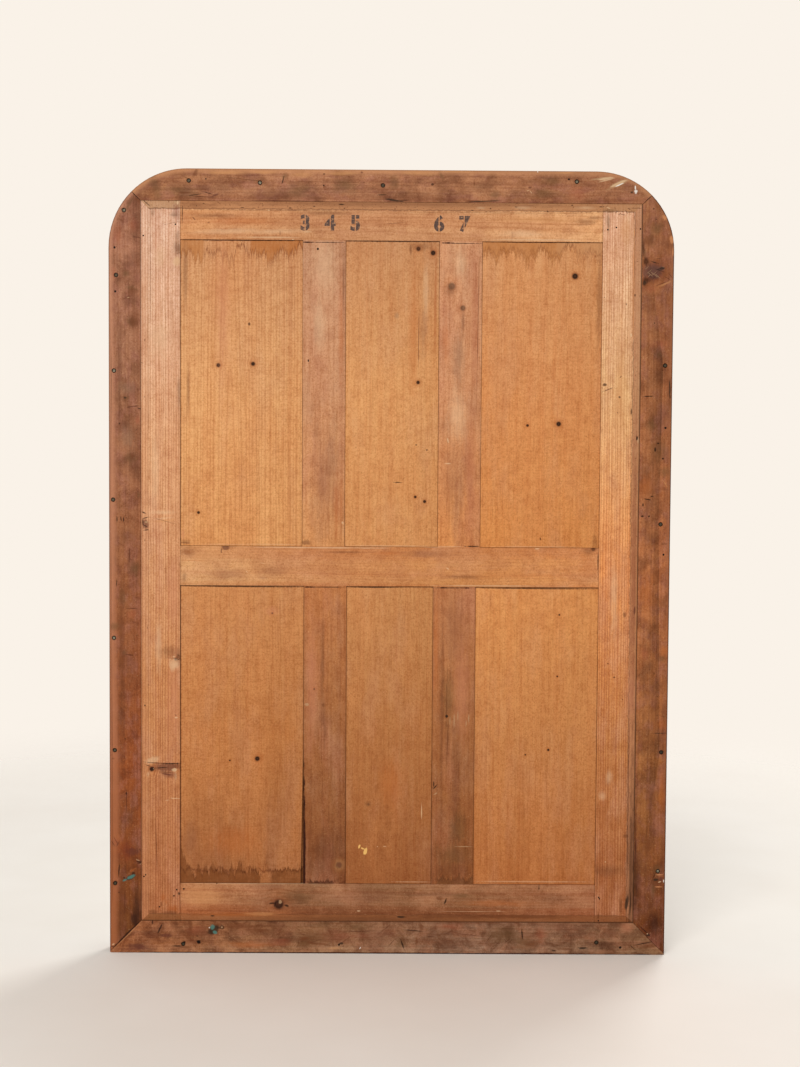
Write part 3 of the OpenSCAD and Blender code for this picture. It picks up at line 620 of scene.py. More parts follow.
def chamfer_dust_and_shade(sides):
    """Dust and painted shade on the chamfer round the backboard; sides gives each one's colour, its
    strength, how dark its upper line is and how dark the painted shade at the joint with the carcase is."""
    low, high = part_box("left_stile")
    reach_x, low_z, high_z = high.x / MM, low.z / MM, high.z / MM

    def paint(tree, colour, place):
        x, z = [put(tree, "SeparateXYZ", [place], axis) for axis in "XZ"]
        inset = {"left": put(tree, "Math", [reach_x, x], operation="SUBTRACT"),
                 "right": put(tree, "Math", [x, reach_x], operation="ADD"),
                 "top": put(tree, "Math", [high_z, z], operation="SUBTRACT"),
                 "bottom": put(tree, "Math", [z, low_z], operation="SUBTRACT")}
        beside = put(tree, "Math", [inset["left"], inset["right"]], operation="MINIMUM")
        ends = put(tree, "Math", [inset["top"], inset["bottom"]], operation="MINIMUM")
        torn = put(tree, "TexNoise", {"Vector": place, "Scale": 0.11, "Detail": 4, "Roughness": 0.7})
        torn = put(tree, "MapRange", {0: torn, 3: -4, 4: 4})
        pitted = put(tree, "TexNoise", {"Vector": place, "Scale": 0.3, "Detail": 3, "Roughness": 0.75})
        pitted = put(tree, "MapRange", [pitted, 0.58, 0.68, 0, 0.9])
        for side, (code, strength, crease, edge_shade) in sides.items():
            other = ends if side in ("left", "right") else beside
            here = put(tree, "Math", [inset[side], other], operation="LESS_THAN")
            from_edge = put(tree, "Math", [inset[side], torn], operation="ADD")
            share = put(tree, "MapRange", [from_edge, chamfer_w - 0.8, chamfer_w + 1, strength, 0])
            share = put(tree, "Math", [share, here], operation="MULTIPLY")
            # the chamfer's colour: dust, and on the lower chamfer partly painted shade
            colour = put(tree, "Mix", {0: share, 6: colour, 7: code}, **paint_over)
            pits = put(tree, "Math", [share, pitted], operation="MULTIPLY")
            colour = put(tree, "Mix", {0: pits, 6: colour, 7: "#6A3A20"}, **paint_over)
            line = put(tree, "Math", [from_edge, chamfer_w], operation="SUBTRACT")
            line = put(tree, "Math", [line], operation="ABSOLUTE")
            line = put(tree, "MapRange", [line, 0.4, 1.8, crease, 0])
            line = put(tree, "Math", [line, here], operation="MULTIPLY")
            colour = put(tree, "Mix", {0: line, 6: colour, 7: "#5A3522"}, **paint_over)
            # painted shade along the joint with the carcase
            joint_grime_and_shade = put(tree, "MapRange", [inset[side], 0.6, 2.8, edge_shade, 0])
            colour = put(tree, "Mix", {0: joint_grime_and_shade, 6: colour, 7: "#432818"}, **paint_over)
        return colour
    return paint


print("chamfer", chamfer_w, "mm wide")

# %% [markdown]
# Each board of the back is described once. Numbers are millimetres, X to the left of the
# photograph. The upper boards have stayed paler and the lower ones have browned, and part of that
# darkening towards the bottom is painted shade, for the light falling off towards the floor. A
# piece that shows only between its neighbours takes its edges from them, through the imported model.

# %% Facts of the backboard's boards
def box_mm(node):
    return [tuple(c / MM for c in corner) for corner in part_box(node)]


far_y = 100  # edges are told in X and Z, so their depth is put out of the way


def between(left, right, below, above):
    """The part of the back that shows between four neighbours."""
    low = (box_mm(right)[1][0], -far_y, box_mm(below)[1][2])
    high = (box_mm(left)[0][0], far_y, box_mm(above)[0][2])
    return low, high


def around(node):
    low, high = box_mm(node)
    return (low[0], -far_y, low[2]), (high[0], far_y, high[2])


rail_x = (box_mm("right_stile")[1][0], box_mm("left_stile")[0][0])


def rail_edges(node):
    low, high = around(node)
    return (rail_x[0], low[1], low[2]), (rail_x[1], high[1], high[2])


panel_fact = dict(grain="z", ring=3.1, wave=10, line=0.1, late="#B97F4E", band="#E8B48C", banding=0.12,
                  fibre=0.7, clouding=0.22, cloud="#C79C7C", cloud_rate=0.05, dirt=0.45, saw=0.12,
                  patch_rate=(0.014, 0.014, 0.004),
                  patina=[("#DB955C", 0.4), ("#D2A07C", 0.2)])
stile_fact = dict(grain="z", ring=4.4, wave=3.5, line=0.5, late="#B97850", band="#D9A488", banding=0.2,
                  uneven=1, clouding=0.25, patina=[("#DDA98A", 0.35), ("#D4946A", 0.3)],
                  patch_rate=(0.03, 0.02, 0.01), saw=0.15, grime=(0, 0, 0, 0))
muntin_fact = dict(grain="z", ring=9, wave=7, line=0.15, late="#B07A5A", band="#CE9A80", banding=0.25,
                   patina=[("#C6866A", 0.35), ("#B48A6C", 0.25)], saw=0.15, grime=(0.05, 0, 0.05, 0.2))
rail_fact = dict(grain="x", ring=6, wave=8, line=0.18, late="#B57C50", band="#DCAA86", banding=0.3,
                 patch_rate=(0.02, 0.02, 0.01), patina=[("#D9A07A", 0.35), ("#CC9068", 0.3)],
                 saw=0.25, grime=(0.35, 0, 0.35, 0))
boards = {
    "left_stile": dict(
        stile_fact, pith=(330, 60, 0), tones=["#BE7F55", "#D99C68", "#EFBB8E", "#F6D4BC"],
        knots=[(422, 334, 4), (379, 531, 2.5)],
        extras=[chamfer_dust_and_shade({"left": ("#C08D68", 0.12, 0.12, 0.3), "top": ("#B48760", 0.75, 0.6, 0),
                    "bottom": ("#8E5A34", 0.8, 0.4, 0.7)})]),
    "right_stile": dict(
        stile_fact, ring=4.6, line=0.5, pith=(-360, 40, 0),
        extras=[chamfer_dust_and_shade({"right": ("#BE845E", 0.7, 0.45, 0.8), "top": ("#AE7A50", 0.85, 0.6, 0.1),
                    "bottom": ("#8F5732", 0.8, 0.4, 0.75)})],
        tones=["#AF7048", "#D08F57", "#FEB16E", "#FFD49C", "#FFD2B2"]),
    "top_rail": dict(
        rail_fact, pith=(-30, 12, 0.012), extras=[chamfer_dust_and_shade({"top": ("#B27A52", 0.8, 0.5, 0)})],
        tones=["#FFCA94", "#E1AC7E", "#D39F73", "#E6AD7A"]),
    "middle_rail": dict(
        rail_fact, pith=(60, 20, -0.01), banding=0.35, fibre=0.5, saw=0.12, line=0.12,
        tones=["#ECA568", "#DA995E", "#D69865", "#E6B37E"], knots=[(-361, 731, 3)], knot=0.7),
    "bottom_rail": dict(
        rail_fact, pith=(-50, 14, 0.015),
        extras=[chamfer_dust_and_shade({"bottom": ("#935C36", 0.6, 0.35, 0.7)})],
        tones=["#BA825E", "#9D7251", "#9C7252", "#CC9266"], knots=[(195, 91, 8.5)], banding=0.7),
    "upper_left_muntin": dict(
        muntin_fact, pith=(10, 25, 0.02), tones=["#EEB174", "#DEA87F", "#D5A481"]),
    "upper_right_muntin": dict(
        muntin_fact, pith=(-20, 30, 0.02), tones=["#EBA462", "#E4AA7D", "#E8B288"],
        knots=[(-106, 1193, 6), (-126, 1155, 4.4)], knot=0.65),
    "lower_left_muntin": dict(
        muntin_fact, pith=(15, 30, -0.02), tones=["#925D39", "#B1784A", "#D3905A"], late="#96603F",
        knots=[(133, 479, 1.6), (88, 162, 5.5)],
        extras=[tide("#43210F", 0.8, 127, 14, True, (98, 142), 0, 0.5)]),
    "lower_right_muntin": dict(
        muntin_fact, pith=(-25, 24, 0.02), tones=["#9C6338", "#B47A4B", "#D19262"], late="#96603F",
        knots=[(-103.5, 431.5, 2)], extras=[tide("#5A3A22", 0.5, 128, 24, True, (-152, -88), 0, 0.3)]),
    "upper_left_panel": dict(
        panel_fact, saw=0.3, grime=(0.05, 0, 0.6, 0.9), ring=6, line=0.26, pith=(20, 10, 0.028),
        wave=4, tones=["#ECAF72", "#EDB47B", "#D7A174"],
        knots=[(304, 1052, 3.4), (243, 1054.7, 3.4), (339, 792, 2.4)],
        extras=[tide("#B06A34", 0.8, 1271.6, 50, False, (156, 247)),
            tide("#B5743F", 0.7, 1271.6, 60, False, (330, 371))]),
    "upper_middle_panel": dict(
        panel_fact, grime=(0.05, 0, 0.1, 0.9), ring=2.4, pith=(-140, 30, 0),
        tones=["#E0A268", "#E6AA70", "#D0986A"], knots=[(-47, 1258, 3.6), (-73, 1251, 4.2),
            (-48, 1024, 3), (-61, 814, 2.6), (-44.5, 822, 2.2)]),
    "upper_right_panel": dict(
        panel_fact, saw=0.25, grime=(0.25, 0, 0.1, 0.9), ring=2.6, pith=(170, 40, 0),
        tones=["#E39B59", "#E39E64", "#DEA472"],
        knots=[(-323, 1212, 5), (-242, 949.5, 2.2), (-297, 952.5, 4)],
        extras=[tide("#B5743F", 0.75, 1271.6, 52, False, (-300, -160)),
            tide("#C48B5C", 0.6, 1271.6, 36, False, (-371, -290))]),
    "lower_left_panel": dict(
        panel_fact, saw=0.3, grime=(0.3, 0.3, 0.9, 0.8), ring=2.6, pith=(-160, 30, 0),
        tones=["#A46B43", "#C6854E", "#D49660"],
        knots=[(208, 614, 1.4), (234, 353.6, 4), (283, 350, 1.4)],
        extras=[tide("#7A4520", 0.85, 133, 44, True, (228, 372), 40, 0.34),
            tide("#7A4520", 0.75, 146, 17, True, (151, 208), 0, 0.3)]),
    "lower_middle_panel": dict(
        panel_fact, grime=(0.1, 0, 0.2, 0.8), ring=2.3, pith=(120, 40, 0),
        tones=["#A6693D", "#BC7F4C", "#D2965F"]),
    "lower_right_panel": dict(
        panel_fact, grime=(0.3, 0, 0.1, 0.8), ring=2.4, pith=(-110, 30, 0),
        tones=["#BB7642", "#CE8E56", "#E6A161"], knots=[(-302, 614, 1.4), (-299.5, 504, 1.4),
            (-285, 372, 2), (-244, 363, 1.3)]),
}
openings = {
    "upper_left_panel": ("left_stile", "upper_left_muntin", "middle_rail", "top_rail"),
    "upper_middle_panel": ("upper_left_muntin", "upper_right_muntin", "middle_rail", "top_rail"),
    "upper_right_panel": ("upper_right_muntin", "right_stile", "middle_rail", "top_rail"),
    "lower_left_panel": ("left_stile", "lower_left_muntin", "bottom_rail", "middle_rail"),
    "lower_middle_panel": ("lower_left_muntin", "lower_right_muntin", "bottom_rail", "middle_rail"),
    "lower_right_panel": ("lower_right_muntin", "right_stile", "bottom_rail", "middle_rail"),
}
print("boards", len(boards), "panels", len(openings))

# %% [markdown]
# The carcase boards were stained and then handled and smoked for a century: red-brown, with
# dark clouds, nail holes, green patches of corroded brass, and a long pale gouge in the top
# right corner.

# %% Facts of the carcase boards
carcase_fact = dict(ring=8, wave=9, line=0.2, late="#8A5A44", band="#C09476", banding=0.3, cloud="#9E785A",
                    cloud_rate=0.03, clouding=0.5, swirl=0.6, dirt=0.6,
                    saw=0.15, grime=(0, 0, 0, 0), patina=[("#7C4E34", 0.55), ("#A87060", 0.45)],
                    patch_rate=(0.032, 0.03, 0.018), sheen=0.5)
strip_left = arris_wear_and_painted_light(["#A8643E", "#CC9272"], 0.75, [15, 18, 13, 13, 9, 4], 0.55)
strip_right = arris_wear_and_painted_light(["#A86440", "#B67650"], 0.65, [1, 2, 4, 6, 6, 3], 0.8)
strip_top = arris_wear_and_painted_light(["#C48A60", "#C48A60"], 0.8, [8, 8], 0.3)
# the carcase uprights darken towards the foot, partly as painted shade
carcase = {
    "carcase_left": dict(
        carcase_fact, grain="z", pith=(200, 40, 0),
        tones=["#744622", "#A0582E", "#A56A45", "#B07C5D", "#B57F64"], knots=[(489, 198, 6)],
        extras=[strip_left]),
    "carcase_right": dict(
        carcase_fact, clouding=0.45, grain="z", pith=(-180, 50, 0),
        tones=["#6A320C", "#B47746", "#CC8556", "#B77950", "#B07751"], knots=[(-463, 1220, 11)],
        extras=[strip_right], grime=(0, 0, 0.6, 0)),
    "carcase_top": dict(
        carcase_fact, grain="x", pith=(120, 40, 0), tones=["#B07856", "#C08862", "#C28A67", "#B57E57"],
        extras=[strip_top]),
    "carcase_bottom": dict(
        carcase_fact, grain="x", pith=(-150, 40, 0), patina=[("#6A4430", 0.65), ("#B07A5C", 0.5)],
        clouding=0.75, grime=(0, 0, 0, 0.4), tones=["#9A7353", "#A9856D", "#B18662", "#BB7B51"]),
}
print("carcase boards", len(carcase))

# %% [markdown]
# A century has left its marks on every board: nail holes, scratches, smoke, tide lines, knots and
# bruises. Each is an ellipse whose edge is roughened by noise. They were read against the
# photograph and are kept by board and by kind, as middle, half sizes and turn. First come the
# stiles and rails, which are nailed and jointed most.

# %% Marks of the stiles and rails
def tally(table):
    return sum(len(places) for kinds in table.values() for places in kinds.values())


# Among these marks, the glare and white ones and some cream ones are painted highlights.
frame_marks = {
    "left_stile": {
        "crack": [(436, 791, 5, 1.2, -20), (430, 1334, 8, 0.8, -42), (370.5, 1252, 0.7, 5.5),
            (439.5, 1055.5, 1.4, 0.7), (433, 782, 6, 1.1, 15), (433, 767.5, 4.5, 0.8, -25),
            (431.5, 760.5, 5.5, 1.1, 10), (438, 775, 1.1, 5.5), (373.5, 531, 2.8, 0.6, 30),
            (375, 538.5, 2.8, 0.6, -10), (370.5, 556, 0.6, 12), (379.5, 431, 1.9, 0.6, -20),
            (386, 344, 19, 1.1, 2), (404, 336.5, 13, 0.8, 4), (420, 334.5, 3.5, 2.8),
            (428.5, 340, 5.5, 0.7, -12), (367.5, 127.5, 0.7, 45)],
        "line": [(405, 344.5, 30, 1.3, -3), (382, 1313.5, 7.5, 0.5), (386.5, 1299.5, 15, 0.4, 13),
            (398.5, 328.5, 14, 0.8, -3), (414, 196.5, 0.7, 49, 2), (400, 777, 0.4, 24, 75.4),
            (384.5, 532.5, 0.4, 12.5, 85.8), (431, 1334.5, 0.4, 9, -38), (423, 1218, 0.4, 105.5)],
        "cream": [(381, 333, 5, 3), (376.5, 1336, 1.7, 3.5), (382, 536, 3.5, 0.6, 10),
            (378.5, 426.5, 2.8, 1), (380.5, 281.5, 12, 0.7, -2), (394.5, 278, 3.5, 0.5, 10),
            (369.5, 79, 0.9, 1.2)],
        "bruise": [(390, 323, 14, 6)],
        "pale": [(420, 350, 14, 6, 20), (383, 522, 9, 12), (377, 1233, 8, 9)],
        "stain": [(374, 536, 4, 16), (376, 1257, 6, 11)],
        "spot": [(437.5, 139, 1.4, 1.6)],
        "hole": [(379, 1342, 2.5, 3), (434.5, 447.5, 1.2, 1.7), (433.5, 142.5, 1.1, 1.5)],
        "rust": [(402, 103, 5, 8), (385, 82, 10, 7)],
        "red": [(378, 1320, 6, 16)],
        "grey": [(375, 1255, 10, 15), (420, 1318, 4, 8), (376, 1277, 5, 11), (382, 1314, 8, 5),
            (373.5, 1005.5, 4, 30)],
        "beige": [(381, 1339, 1.8, 5), (431.5, 774.5, 2.7, 1.9), (419, 334.5, 1.1, 0.9)],
        "brown": [(374, 1247.5, 5, 0.8, 10), (434, 1095, 1.4, 2.2), (435, 995.5, 1.1, 1.9),
            (434.5, 742, 1.4, 1.9), (375, 535, 4.5, 3, 20), (370, 693.5, 1.7, 9, 15), (429.5, 587, 1.2, 3),
            (428, 484.5, 1.4, 1.4), (405, 90.5, 1.6, 4.5), (420.5, 76.5, 9.5, 4), (388, 75, 14, 4)],
        "tan": [(376, 1233, 6, 7), (400, 777, 22, 2.2, 6)],
        "glare": [(409, 1097, 19, 30), (379.5, 322, 2.2, 9.5), (404, 792, 24, 4), (401, 781.5, 16, 1.4, 6),
            (380, 520, 8, 5), (379.5, 331.5, 1.9, 2.6), (428, 325.5, 2.6, 5.5, -20), (410, 556, 6, 48),
            (407, 1240, 11, 21), (415, 870, 8, 69)],
        "plum": [(433, 771, 7, 9), (395, 338, 28, 8, 3), (396.5, 325, 11, 1.7, -10)],
        "smoke": [(391, 544, 17, 11)],
        "blush": [(382, 648, 11, 62), (382, 458, 11, 91)],
        "glow": [(396, 94, 2.1, 2.8), (376, 76, 3.5, 3.5)],
        "murk": [(373.5, 109.5, 2.3, 3.5)]},
    "right_stile": {
        "red": [(-434, 700, 6, 300)],
        "grey": [(-380, 1310, 5, 14)],
        "orange": [(-426.5, 1200, 1.6, 110)],
        # a dark band along the joint with the carcase, partly painted shadow
        "soot_and_shadow": [(-436, 150, 6, 210)],
        "line": [(-429, 250, 1, 220), (-405.5, 1036, 3, 0.8, 50), (-384.5, 1014, 11, 1.1, 22),
            (-441.5, 207, 0.7, 70), (-395, 1325, 0.9, 3.5, -47.9), (-400, 1321, 0.9, 2.9, -52.7),
            (-406, 1320, 0.9, 4, 78.7), (-412, 1325, 0.9, 4.5, 26.3), (-417, 1330.5, 0.9, 3, 61),
            (-429.5, 1332, 0.9, 10, -89.4), (-427, 1219, 0.4, 100, -0.9)],
        "olive": [(-381, 1301, 1.7, 18), (-381, 1327, 13, 5)],
        "cream": [(-381, 1332, 4.5, 1.1, -25), (-438.5, 924, 0.8, 4.5), (-423, 1109, 1.6, 3.5),
            (-389.5, 170.5, 1.1, 1.1), (-424.5, 1277.5, 0.4, 38, -0.8)],
        "murk": [(-368.5, 1334, 5.5, 1.1, 10), (-429, 96, 4, 14)],
        "spot": [(-375, 1175.5, 1.3, 0.8), (-429, 1179.5, 1.5, 2.8), (-414, 1163.5, 0.8, 1.9),
            (-377.5, 1022, 4, 2.5), (-404, 1000.5, 2.2, 2.2), (-401, 973, 1.1, 1.6), (-425, 975, 1.4, 7),
            (-389.5, 527.5, 1.2, 1.4), (-400.5, 503, 1.9, 1.4), (-416, 463.5, 0.9, 1.4)],
        "glow": [(-424.5, 1276.5, 0.8, 49), (-423, 665, 0.7, 79)],
        "hole": [(-436.5, 928.5, 1.4, 4), (-378.5, 106, 1.6, 1.9)],
        "tan": [(-440.5, 903, 0.8, 22), (-439.5, 617.5, 0.7, 107), (-411, 1295, 13, 28),
            (-406, 1011, 11, 91)],
        "plum": [(-436.5, 621, 1.9, 8)],
        "brown": [(-418.5, 615, 3.5, 5), (-425, 217.5, 5.5, 3.5), (-418, 90.5, 3.5, 16),
            (-378, 71.5, 1.9, 7), (-375, 138, 1.2, 24)],
        "blush": [(-432, 474, 8, 38)],
        "smoke": [(-396, 155, 29, 11)],
        "crack": [(-435.5, 93, 1.2, 24), (-369.5, 1335.5, 0.4, 4.5, 65.4), (-377.5, 1335, 0.4, 4.5, -53.5)],
        "glare": [(-416.5, 1311.5, 2.9, 8.5), (-394, 322, 6, 13), (-383, 290, 7, 8), (-399, 641, 7, 60)]},
    "top_rail": {
        "stain": [(345, 1331, 30, 7), (-338, 1307, 20, 6), (315, 1313, 39, 5), (-357.5, 1314, 13, 3.5),
            (114.5, 1318.5, 52, 3.5)],
        "smoke": [(0, 1336, 380, 6)],
        "pale": [(-250, 1275, 90, 1.6), (210, 1276, 60, 1.4)],
        "spot": [(330.5, 1335, 2, 1.2), (343, 1330.5, 1.1, 1.4), (262.5, 1327.5, 4, 1),
            (178.5, 1327.5, 2.8, 1.4), (136.5, 1331, 1.9, 1), (83.5, 1327.5, 1.4, 1.2),
            (-5.5, 1327, 1.1, 1.6), (227.5, 1335, 1, 1.2), (292, 1332, 1.6, 0.7), (-44.5, 1326, 1.6, 0.7),
            (-141, 1325.5, 2.2, 1), (-173, 1329, 1.6, 1.4), (-273.5, 1325, 1.3, 1.6),
            (-317, 1336.5, 2.2, 1.2), (-218, 1332.5, 2.8, 1), (-367.5, 1334, 3.5, 1.4)],
        "crack": [(89, 1335, 5, 1.3), (367.5, 1315, 0.7, 18), (-371.5, 1294, 0.7, 12)],
        "glare": [(-228.5, 1331, 16, 3), (-339, 1332, 16, 3), (-156, 1330.5, 8, 2.4), (287, 1286, 68, 5, 2),
            (207, 1286, 60, 4, 2), (-229, 1285, 39, 7)],
        "cream": [(216, 1323, 2.3, 0.8), (173.5, 1272.5, 1.8, 1.1), (147.5, 1286, 7, 0.7)],
        "line": [(347, 1307.5, 4, 1.1, -45), (-7, 1302.5, 16, 0.5, 4), (191.5, 1323, 143, 0.4),
            (-177, 1321.5, 169, 0.4)],
        "brown": [(321.5, 1301, 1.8, 1.3), (196, 1283.5, 1.3, 3.5)],
        "glow": [(264, 1304, 52, 7)],
        "tan": [(-254, 1310, 78, 5)],
        "mauve": [(-212, 1282.5, 3, 6.5)]},
    "middle_rail": {
        "stain": [(358, 722, 14, 9), (-352, 727, 12, 8)],
        "pale": [(120, 731, 120, 1.3), (-180, 665, 110, 1.2)],
        "smoke": [(100, 735, 200, 2), (284.5, 733.5, 16, 3), (364, 678, 4, 10), (80.5, 723.5, 42, 2.1),
            (-362, 742, 9, 12), (-130.5, 680.5, 34, 3.5)],
        "plum": [(291, 731, 7, 5)],
        "line": [(298.5, 725, 1.3, 4.5)],
        "glow": [(357, 722, 10, 4), (347, 707, 20, 1.3), (2.5, 721.5, 22, 3.5), (-352, 700, 18, 16)],
        "mauve": [(288, 683, 34, 12), (210, 688, 29, 10), (224, 677, 9, 4), (-63, 721, 60, 7)],
        "tan": [(328, 714, 23, 11), (127.5, 670.5, 16, 1.6), (-102, 701.5, 31, 2.6)],
        # pale lines on the ledges: dust, and partly a painted highlight
        "dust_and_highlight": [(210.5, 735.5, 55, 0.8), (112, 734, 47, 0.8), (-81, 733, 29, 0.9), (-260.5, 734, 89, 0.8)],
        "cream": [(253.5, 687.5, 3, 0.8, -40), (226, 703, 5, 0.5, -10), (-261, 731.5, 4, 1.1),
            (-102.5, 695.5, 3, 1.1, -30)],
        "brown": [(-362, 736, 8, 6)],
        "crack": [(-369.5, 709.5, 0.9, 18)]},
    "bottom_rail": {
        "smoke": [(195, 95, 60, 16), (193.5, 82.5, 19, 4), (-297, 104, 30, 10), (-68, 109.5, 50, 4),
            (-132, 70, 104, 4)],
        "pale": [(230, 129, 130, 1.6)],
        "hole": [(365, 118, 1.8, 2)],
        "stain": [(20, 64, 200, 5)],
        "tan": [(334, 104, 39, 19), (227, 73, 27, 4)],
        "crack": [(206.5, 93, 5.5, 1.6), (180.5, 88.5, 5, 2.2, -20), (-103.5, 98, 1.9, 5.5, -20),
            (-271, 123.5, 0.9, 6.5), (201.5, 91.5, 0.9, 6, -15.8)],
        "olive": [(162, 105, 28, 13), (-132, 108, 19, 4)],
        "mauve": [(219, 124, 41, 6), (54, 103, 69, 13)],
        # pale lines on the ledges: dust, and partly a painted highlight
        "dust_and_highlight": [(41, 131.5, 63, 1), (-258.5, 133, 110, 1.6), (-45.5, 132, 38, 1.3),
            (-147.5, 79.5, 57, 0.7)],
        "glow": [(276, 72, 73, 4), (-195, 94, 69, 6)],
        "cream": [(52, 79.5, 2.8, 1), (-198.5, 80.5, 4, 0.8)],
        "murk": [(-24, 68, 7.5, 2.2), (-20.5, 68.5, 4.5, 2.2), (314, 69, 4, 1.6)],
        "brown": [(-93, 103, 6, 4), (-246.5, 70, 95, 4)],
        "spot": [(306, 128, 1.3, 1.3)],
        "beige": [(192.5, 95, 2.8, 3.5)],
        "line": [(282.5, 78.5, 0.4, 89, 89.7)]}}
print("marks", tally(frame_marks))

# %% [markdown]
# The muntins and panels are sheltered by the frame round them, so they have fewer marks. Where a
# panel has shrunk, a dark gap has opened beside it, and its dark is painted shade. The gap and crack
# lines along the top edges, under the top and middle rails, are painted shadow, and the pale lines
# on the ledges are dust and partly a painted highlight.

# %% Marks of the muntins and panels
panel_marks = {
    "upper_left_muntin": {
        "rust": [(95, 800, 5, 60)],
        "hole": [(129.5, 1256.5, 1.9, 2.3), (145.5, 1061, 1.3, 2.6)],
        "glare": [(119, 1224, 21, 53), (126, 1125, 13, 49)],
        "glow": [(88, 1107, 5, 98), (87, 811, 4, 57)],
        "mauve": [(111, 853, 25, 92)],
        "brown": [(149, 740, 11, 5)],
        "cream": [(84, 775.5, 1.8, 2.5)],
        "stain": [(84, 1199, 2.2, 68)],
        "crack": [(116.5, 1268, 0.8, 38.5, 89.9)],
        "gap": [(148, 1268, 10, 1.2)]},
    "upper_right_muntin": {
        "smoke": [(-105, 1186, 10, 11), (-126.5, 1130.5, 3, 23)],
        "glare": [(-121, 1233, 11, 30), (-118, 966, 18, 42), (-118.5, 1219.5, 3.5, 4)],
        "glow": [(-96, 1097, 7, 45)],
        "mauve": [(-112, 854, 21, 71)],
        "crack": [(-146.5, 735, 14, 1.2), (-122, 1268, 0.8, 37.5, -89.8)],
        "cream": [(-101.5, 922, 1.4, 5, 15), (-101.5, 881.5, 5.5, 1.1)],
        "dust_and_highlight": [(-103, 734.5, 28, 1.1)],
        "grey": [(-119, 1068, 11, 45)],
        "rosy": [(-148, 1120, 8, 128), (-142, 872, 9, 120)],
        "brown": [(-153, 1134, 0.7, 136.5, -0.7)],
        "gap": [(-98, 1268.5, 12, 1.3)]},
    "lower_left_muntin": {
        "blush": [(137, 480, 9, 120)],
        "smoke": [(118.5, 533, 3.5, 92), (116, 430, 7, 25), (114, 401, 4, 34), (107, 181, 37, 45)],
        "brown": [(117, 450.5, 3.5, 3.5)],
        "olive": [(87, 163, 13, 14), (87, 163, 8, 9)],
        "tan": [(87, 163, 10, 11)],
        "plum": [(87, 163, 6, 6)],
        "mauve": [(87, 162, 2.6, 3)],
        "beige": [(146, 451.5, 4, 2.8)],
        "gap": [(150.5, 136.5, 3.5, 211, 0.2), (142.5, 661, 11, 1.3)],
        "crack": [(114, 661, 0.9, 40, -89.9)]},
    "lower_right_muntin": {
        "smoke": [(-94, 440, 4, 170), (-120, 300, 9, 120), (-104, 387, 5, 60), (-111, 152, 32, 15)],
        "blush": [(-130, 480, 14, 90)],
        "olive": [(-105, 464, 11, 46), (-117, 182, 32, 23), (-119, 173, 17, 8), (-126, 228, 15, 34)],
        "murk": [(-103, 431.5, 2.8, 3)],
        "beige": [(-116.5, 426.5, 0.9, 12), (-123, 432, 0.9, 9), (-142.5, 428.5, 1.1, 8),
            (-138, 419.5, 0.9, 6.5), (-84, 292, 4.5, 1.1, 30), (-135.5, 197, 16, 0.8), (-109, 423, 0.7, 8)],
        "glow": [(-83, 552, 5, 88)],
        "crack": [(-83.5, 304.5, 5, 1.3, 50), (-81, 309.5, 1.1, 5.5), (-112, 661, 0.9, 38.5, -89.8)],
        "mauve": [(-115, 587, 21, 64)],
        "brown": [(-103, 468, 1.1, 55.5, -0.5), (-105, 387, 1.1, 38, -2.4)],
        "gap": [(-95, 661, 7.5, 1.3), (-136.5, 661, 5.5, 1.3)]},
    "upper_left_panel": {
        "stain": [(357, 1010, 3, 46), (362, 1215, 5, 60)],
        "blush": [(296, 1140, 12, 130), (367, 753, 3.5, 11)],
        "brown": [(360.5, 738, 8.5, 1.3, -4)],
        "smoke": [(362, 740, 10, 4)],
        "spot": [(249.5, 1124.5, 2.4, 3)],
        "dust_and_highlight": [(211, 736.5, 55, 0.8), (294, 736, 52, 0.7)],
        "gap": [(261, 1271, 113, 1.3)]},
    "upper_middle_panel": {
        "stain": [(-52, 1262, 22, 8)],
        "glare": [(-61, 1182, 5, 64)],
        "mauve": [(-57, 1115, 8, 49)],
        "brown": [(-33.5, 1257, 2.2, 11), (-48.5, 1089.5, 0.8, 44.5, 0.1)],
        "spot": [(-45.5, 914, 1.4, 1.4), (-64.5, 905, 1.8, 1.8)],
        "crack": [(-13, 847.5, 8.5, 0.9), (0, 1271, 76, 1.1)],
        "grey": [(-10, 1141, 4, 6)],
        "dust_and_highlight": [(2, 735, 77, 1.1)],
        "glow": [(-39, 1115, 8, 124)],
        "rust": [(-77.5, 1163.5, 2.6, 87)]},
    "upper_right_panel": {
        "stain": [(-366, 1170, 5, 90)],
        "dust_and_highlight": [(-260.5, 735, 89, 0.8)],
        "smoke": [(-364, 744, 6, 13)],
        "spot": [(-267, 749, 1.6, 2.6)],
        "gap": [(-266, 1271, 108, 1.2)]},
    "lower_left_panel": {
        "blush": [(208, 618, 12, 8)],
        "glow": [(277, 204, 50, 29)],
        "mauve": [(353, 203, 13, 38)],
        "crack": [(261, 661, 1, 108.5, 89.8)]},
    "lower_middle_panel": {
        "chip": [(51.5, 196, 1.9, 4, -20), (45.5, 192.5, 3.5, 1.5, -25), (40.5, 187.5, 3, 6.5, -15)],
        "cream": [(6, 196.5, 3.5, 0.8), (19, 196, 1.5, 0.8), (-59.5, 261, 0.9, 15)],
        "smoke": [(36, 273, 6, 5)],
        "olive": [(35.5, 272, 3, 2.6)],
        "glow": [(-5, 310, 22, 45)],
        "dust_and_highlight": [(-45.5, 132.5, 38, 1)],
        "crack": [(28.5, 661, 1, 47, 89.9)]},
    "lower_right_panel": {
        "dust_and_highlight": [(-259, 134, 107, 1.3)],
        "cream": [(-143.5, 195.5, 7, 0.6)],
        "crack": [(-262, 660.5, 1, 109, 89.9)]}}
print("marks", tally(panel_marks))

# %% [markdown]
# The carcase has taken the knocks, so half of all the marks are on it: bruises and scratches
# along its arrises, smoke, drips, nail holes and green stains from brass.

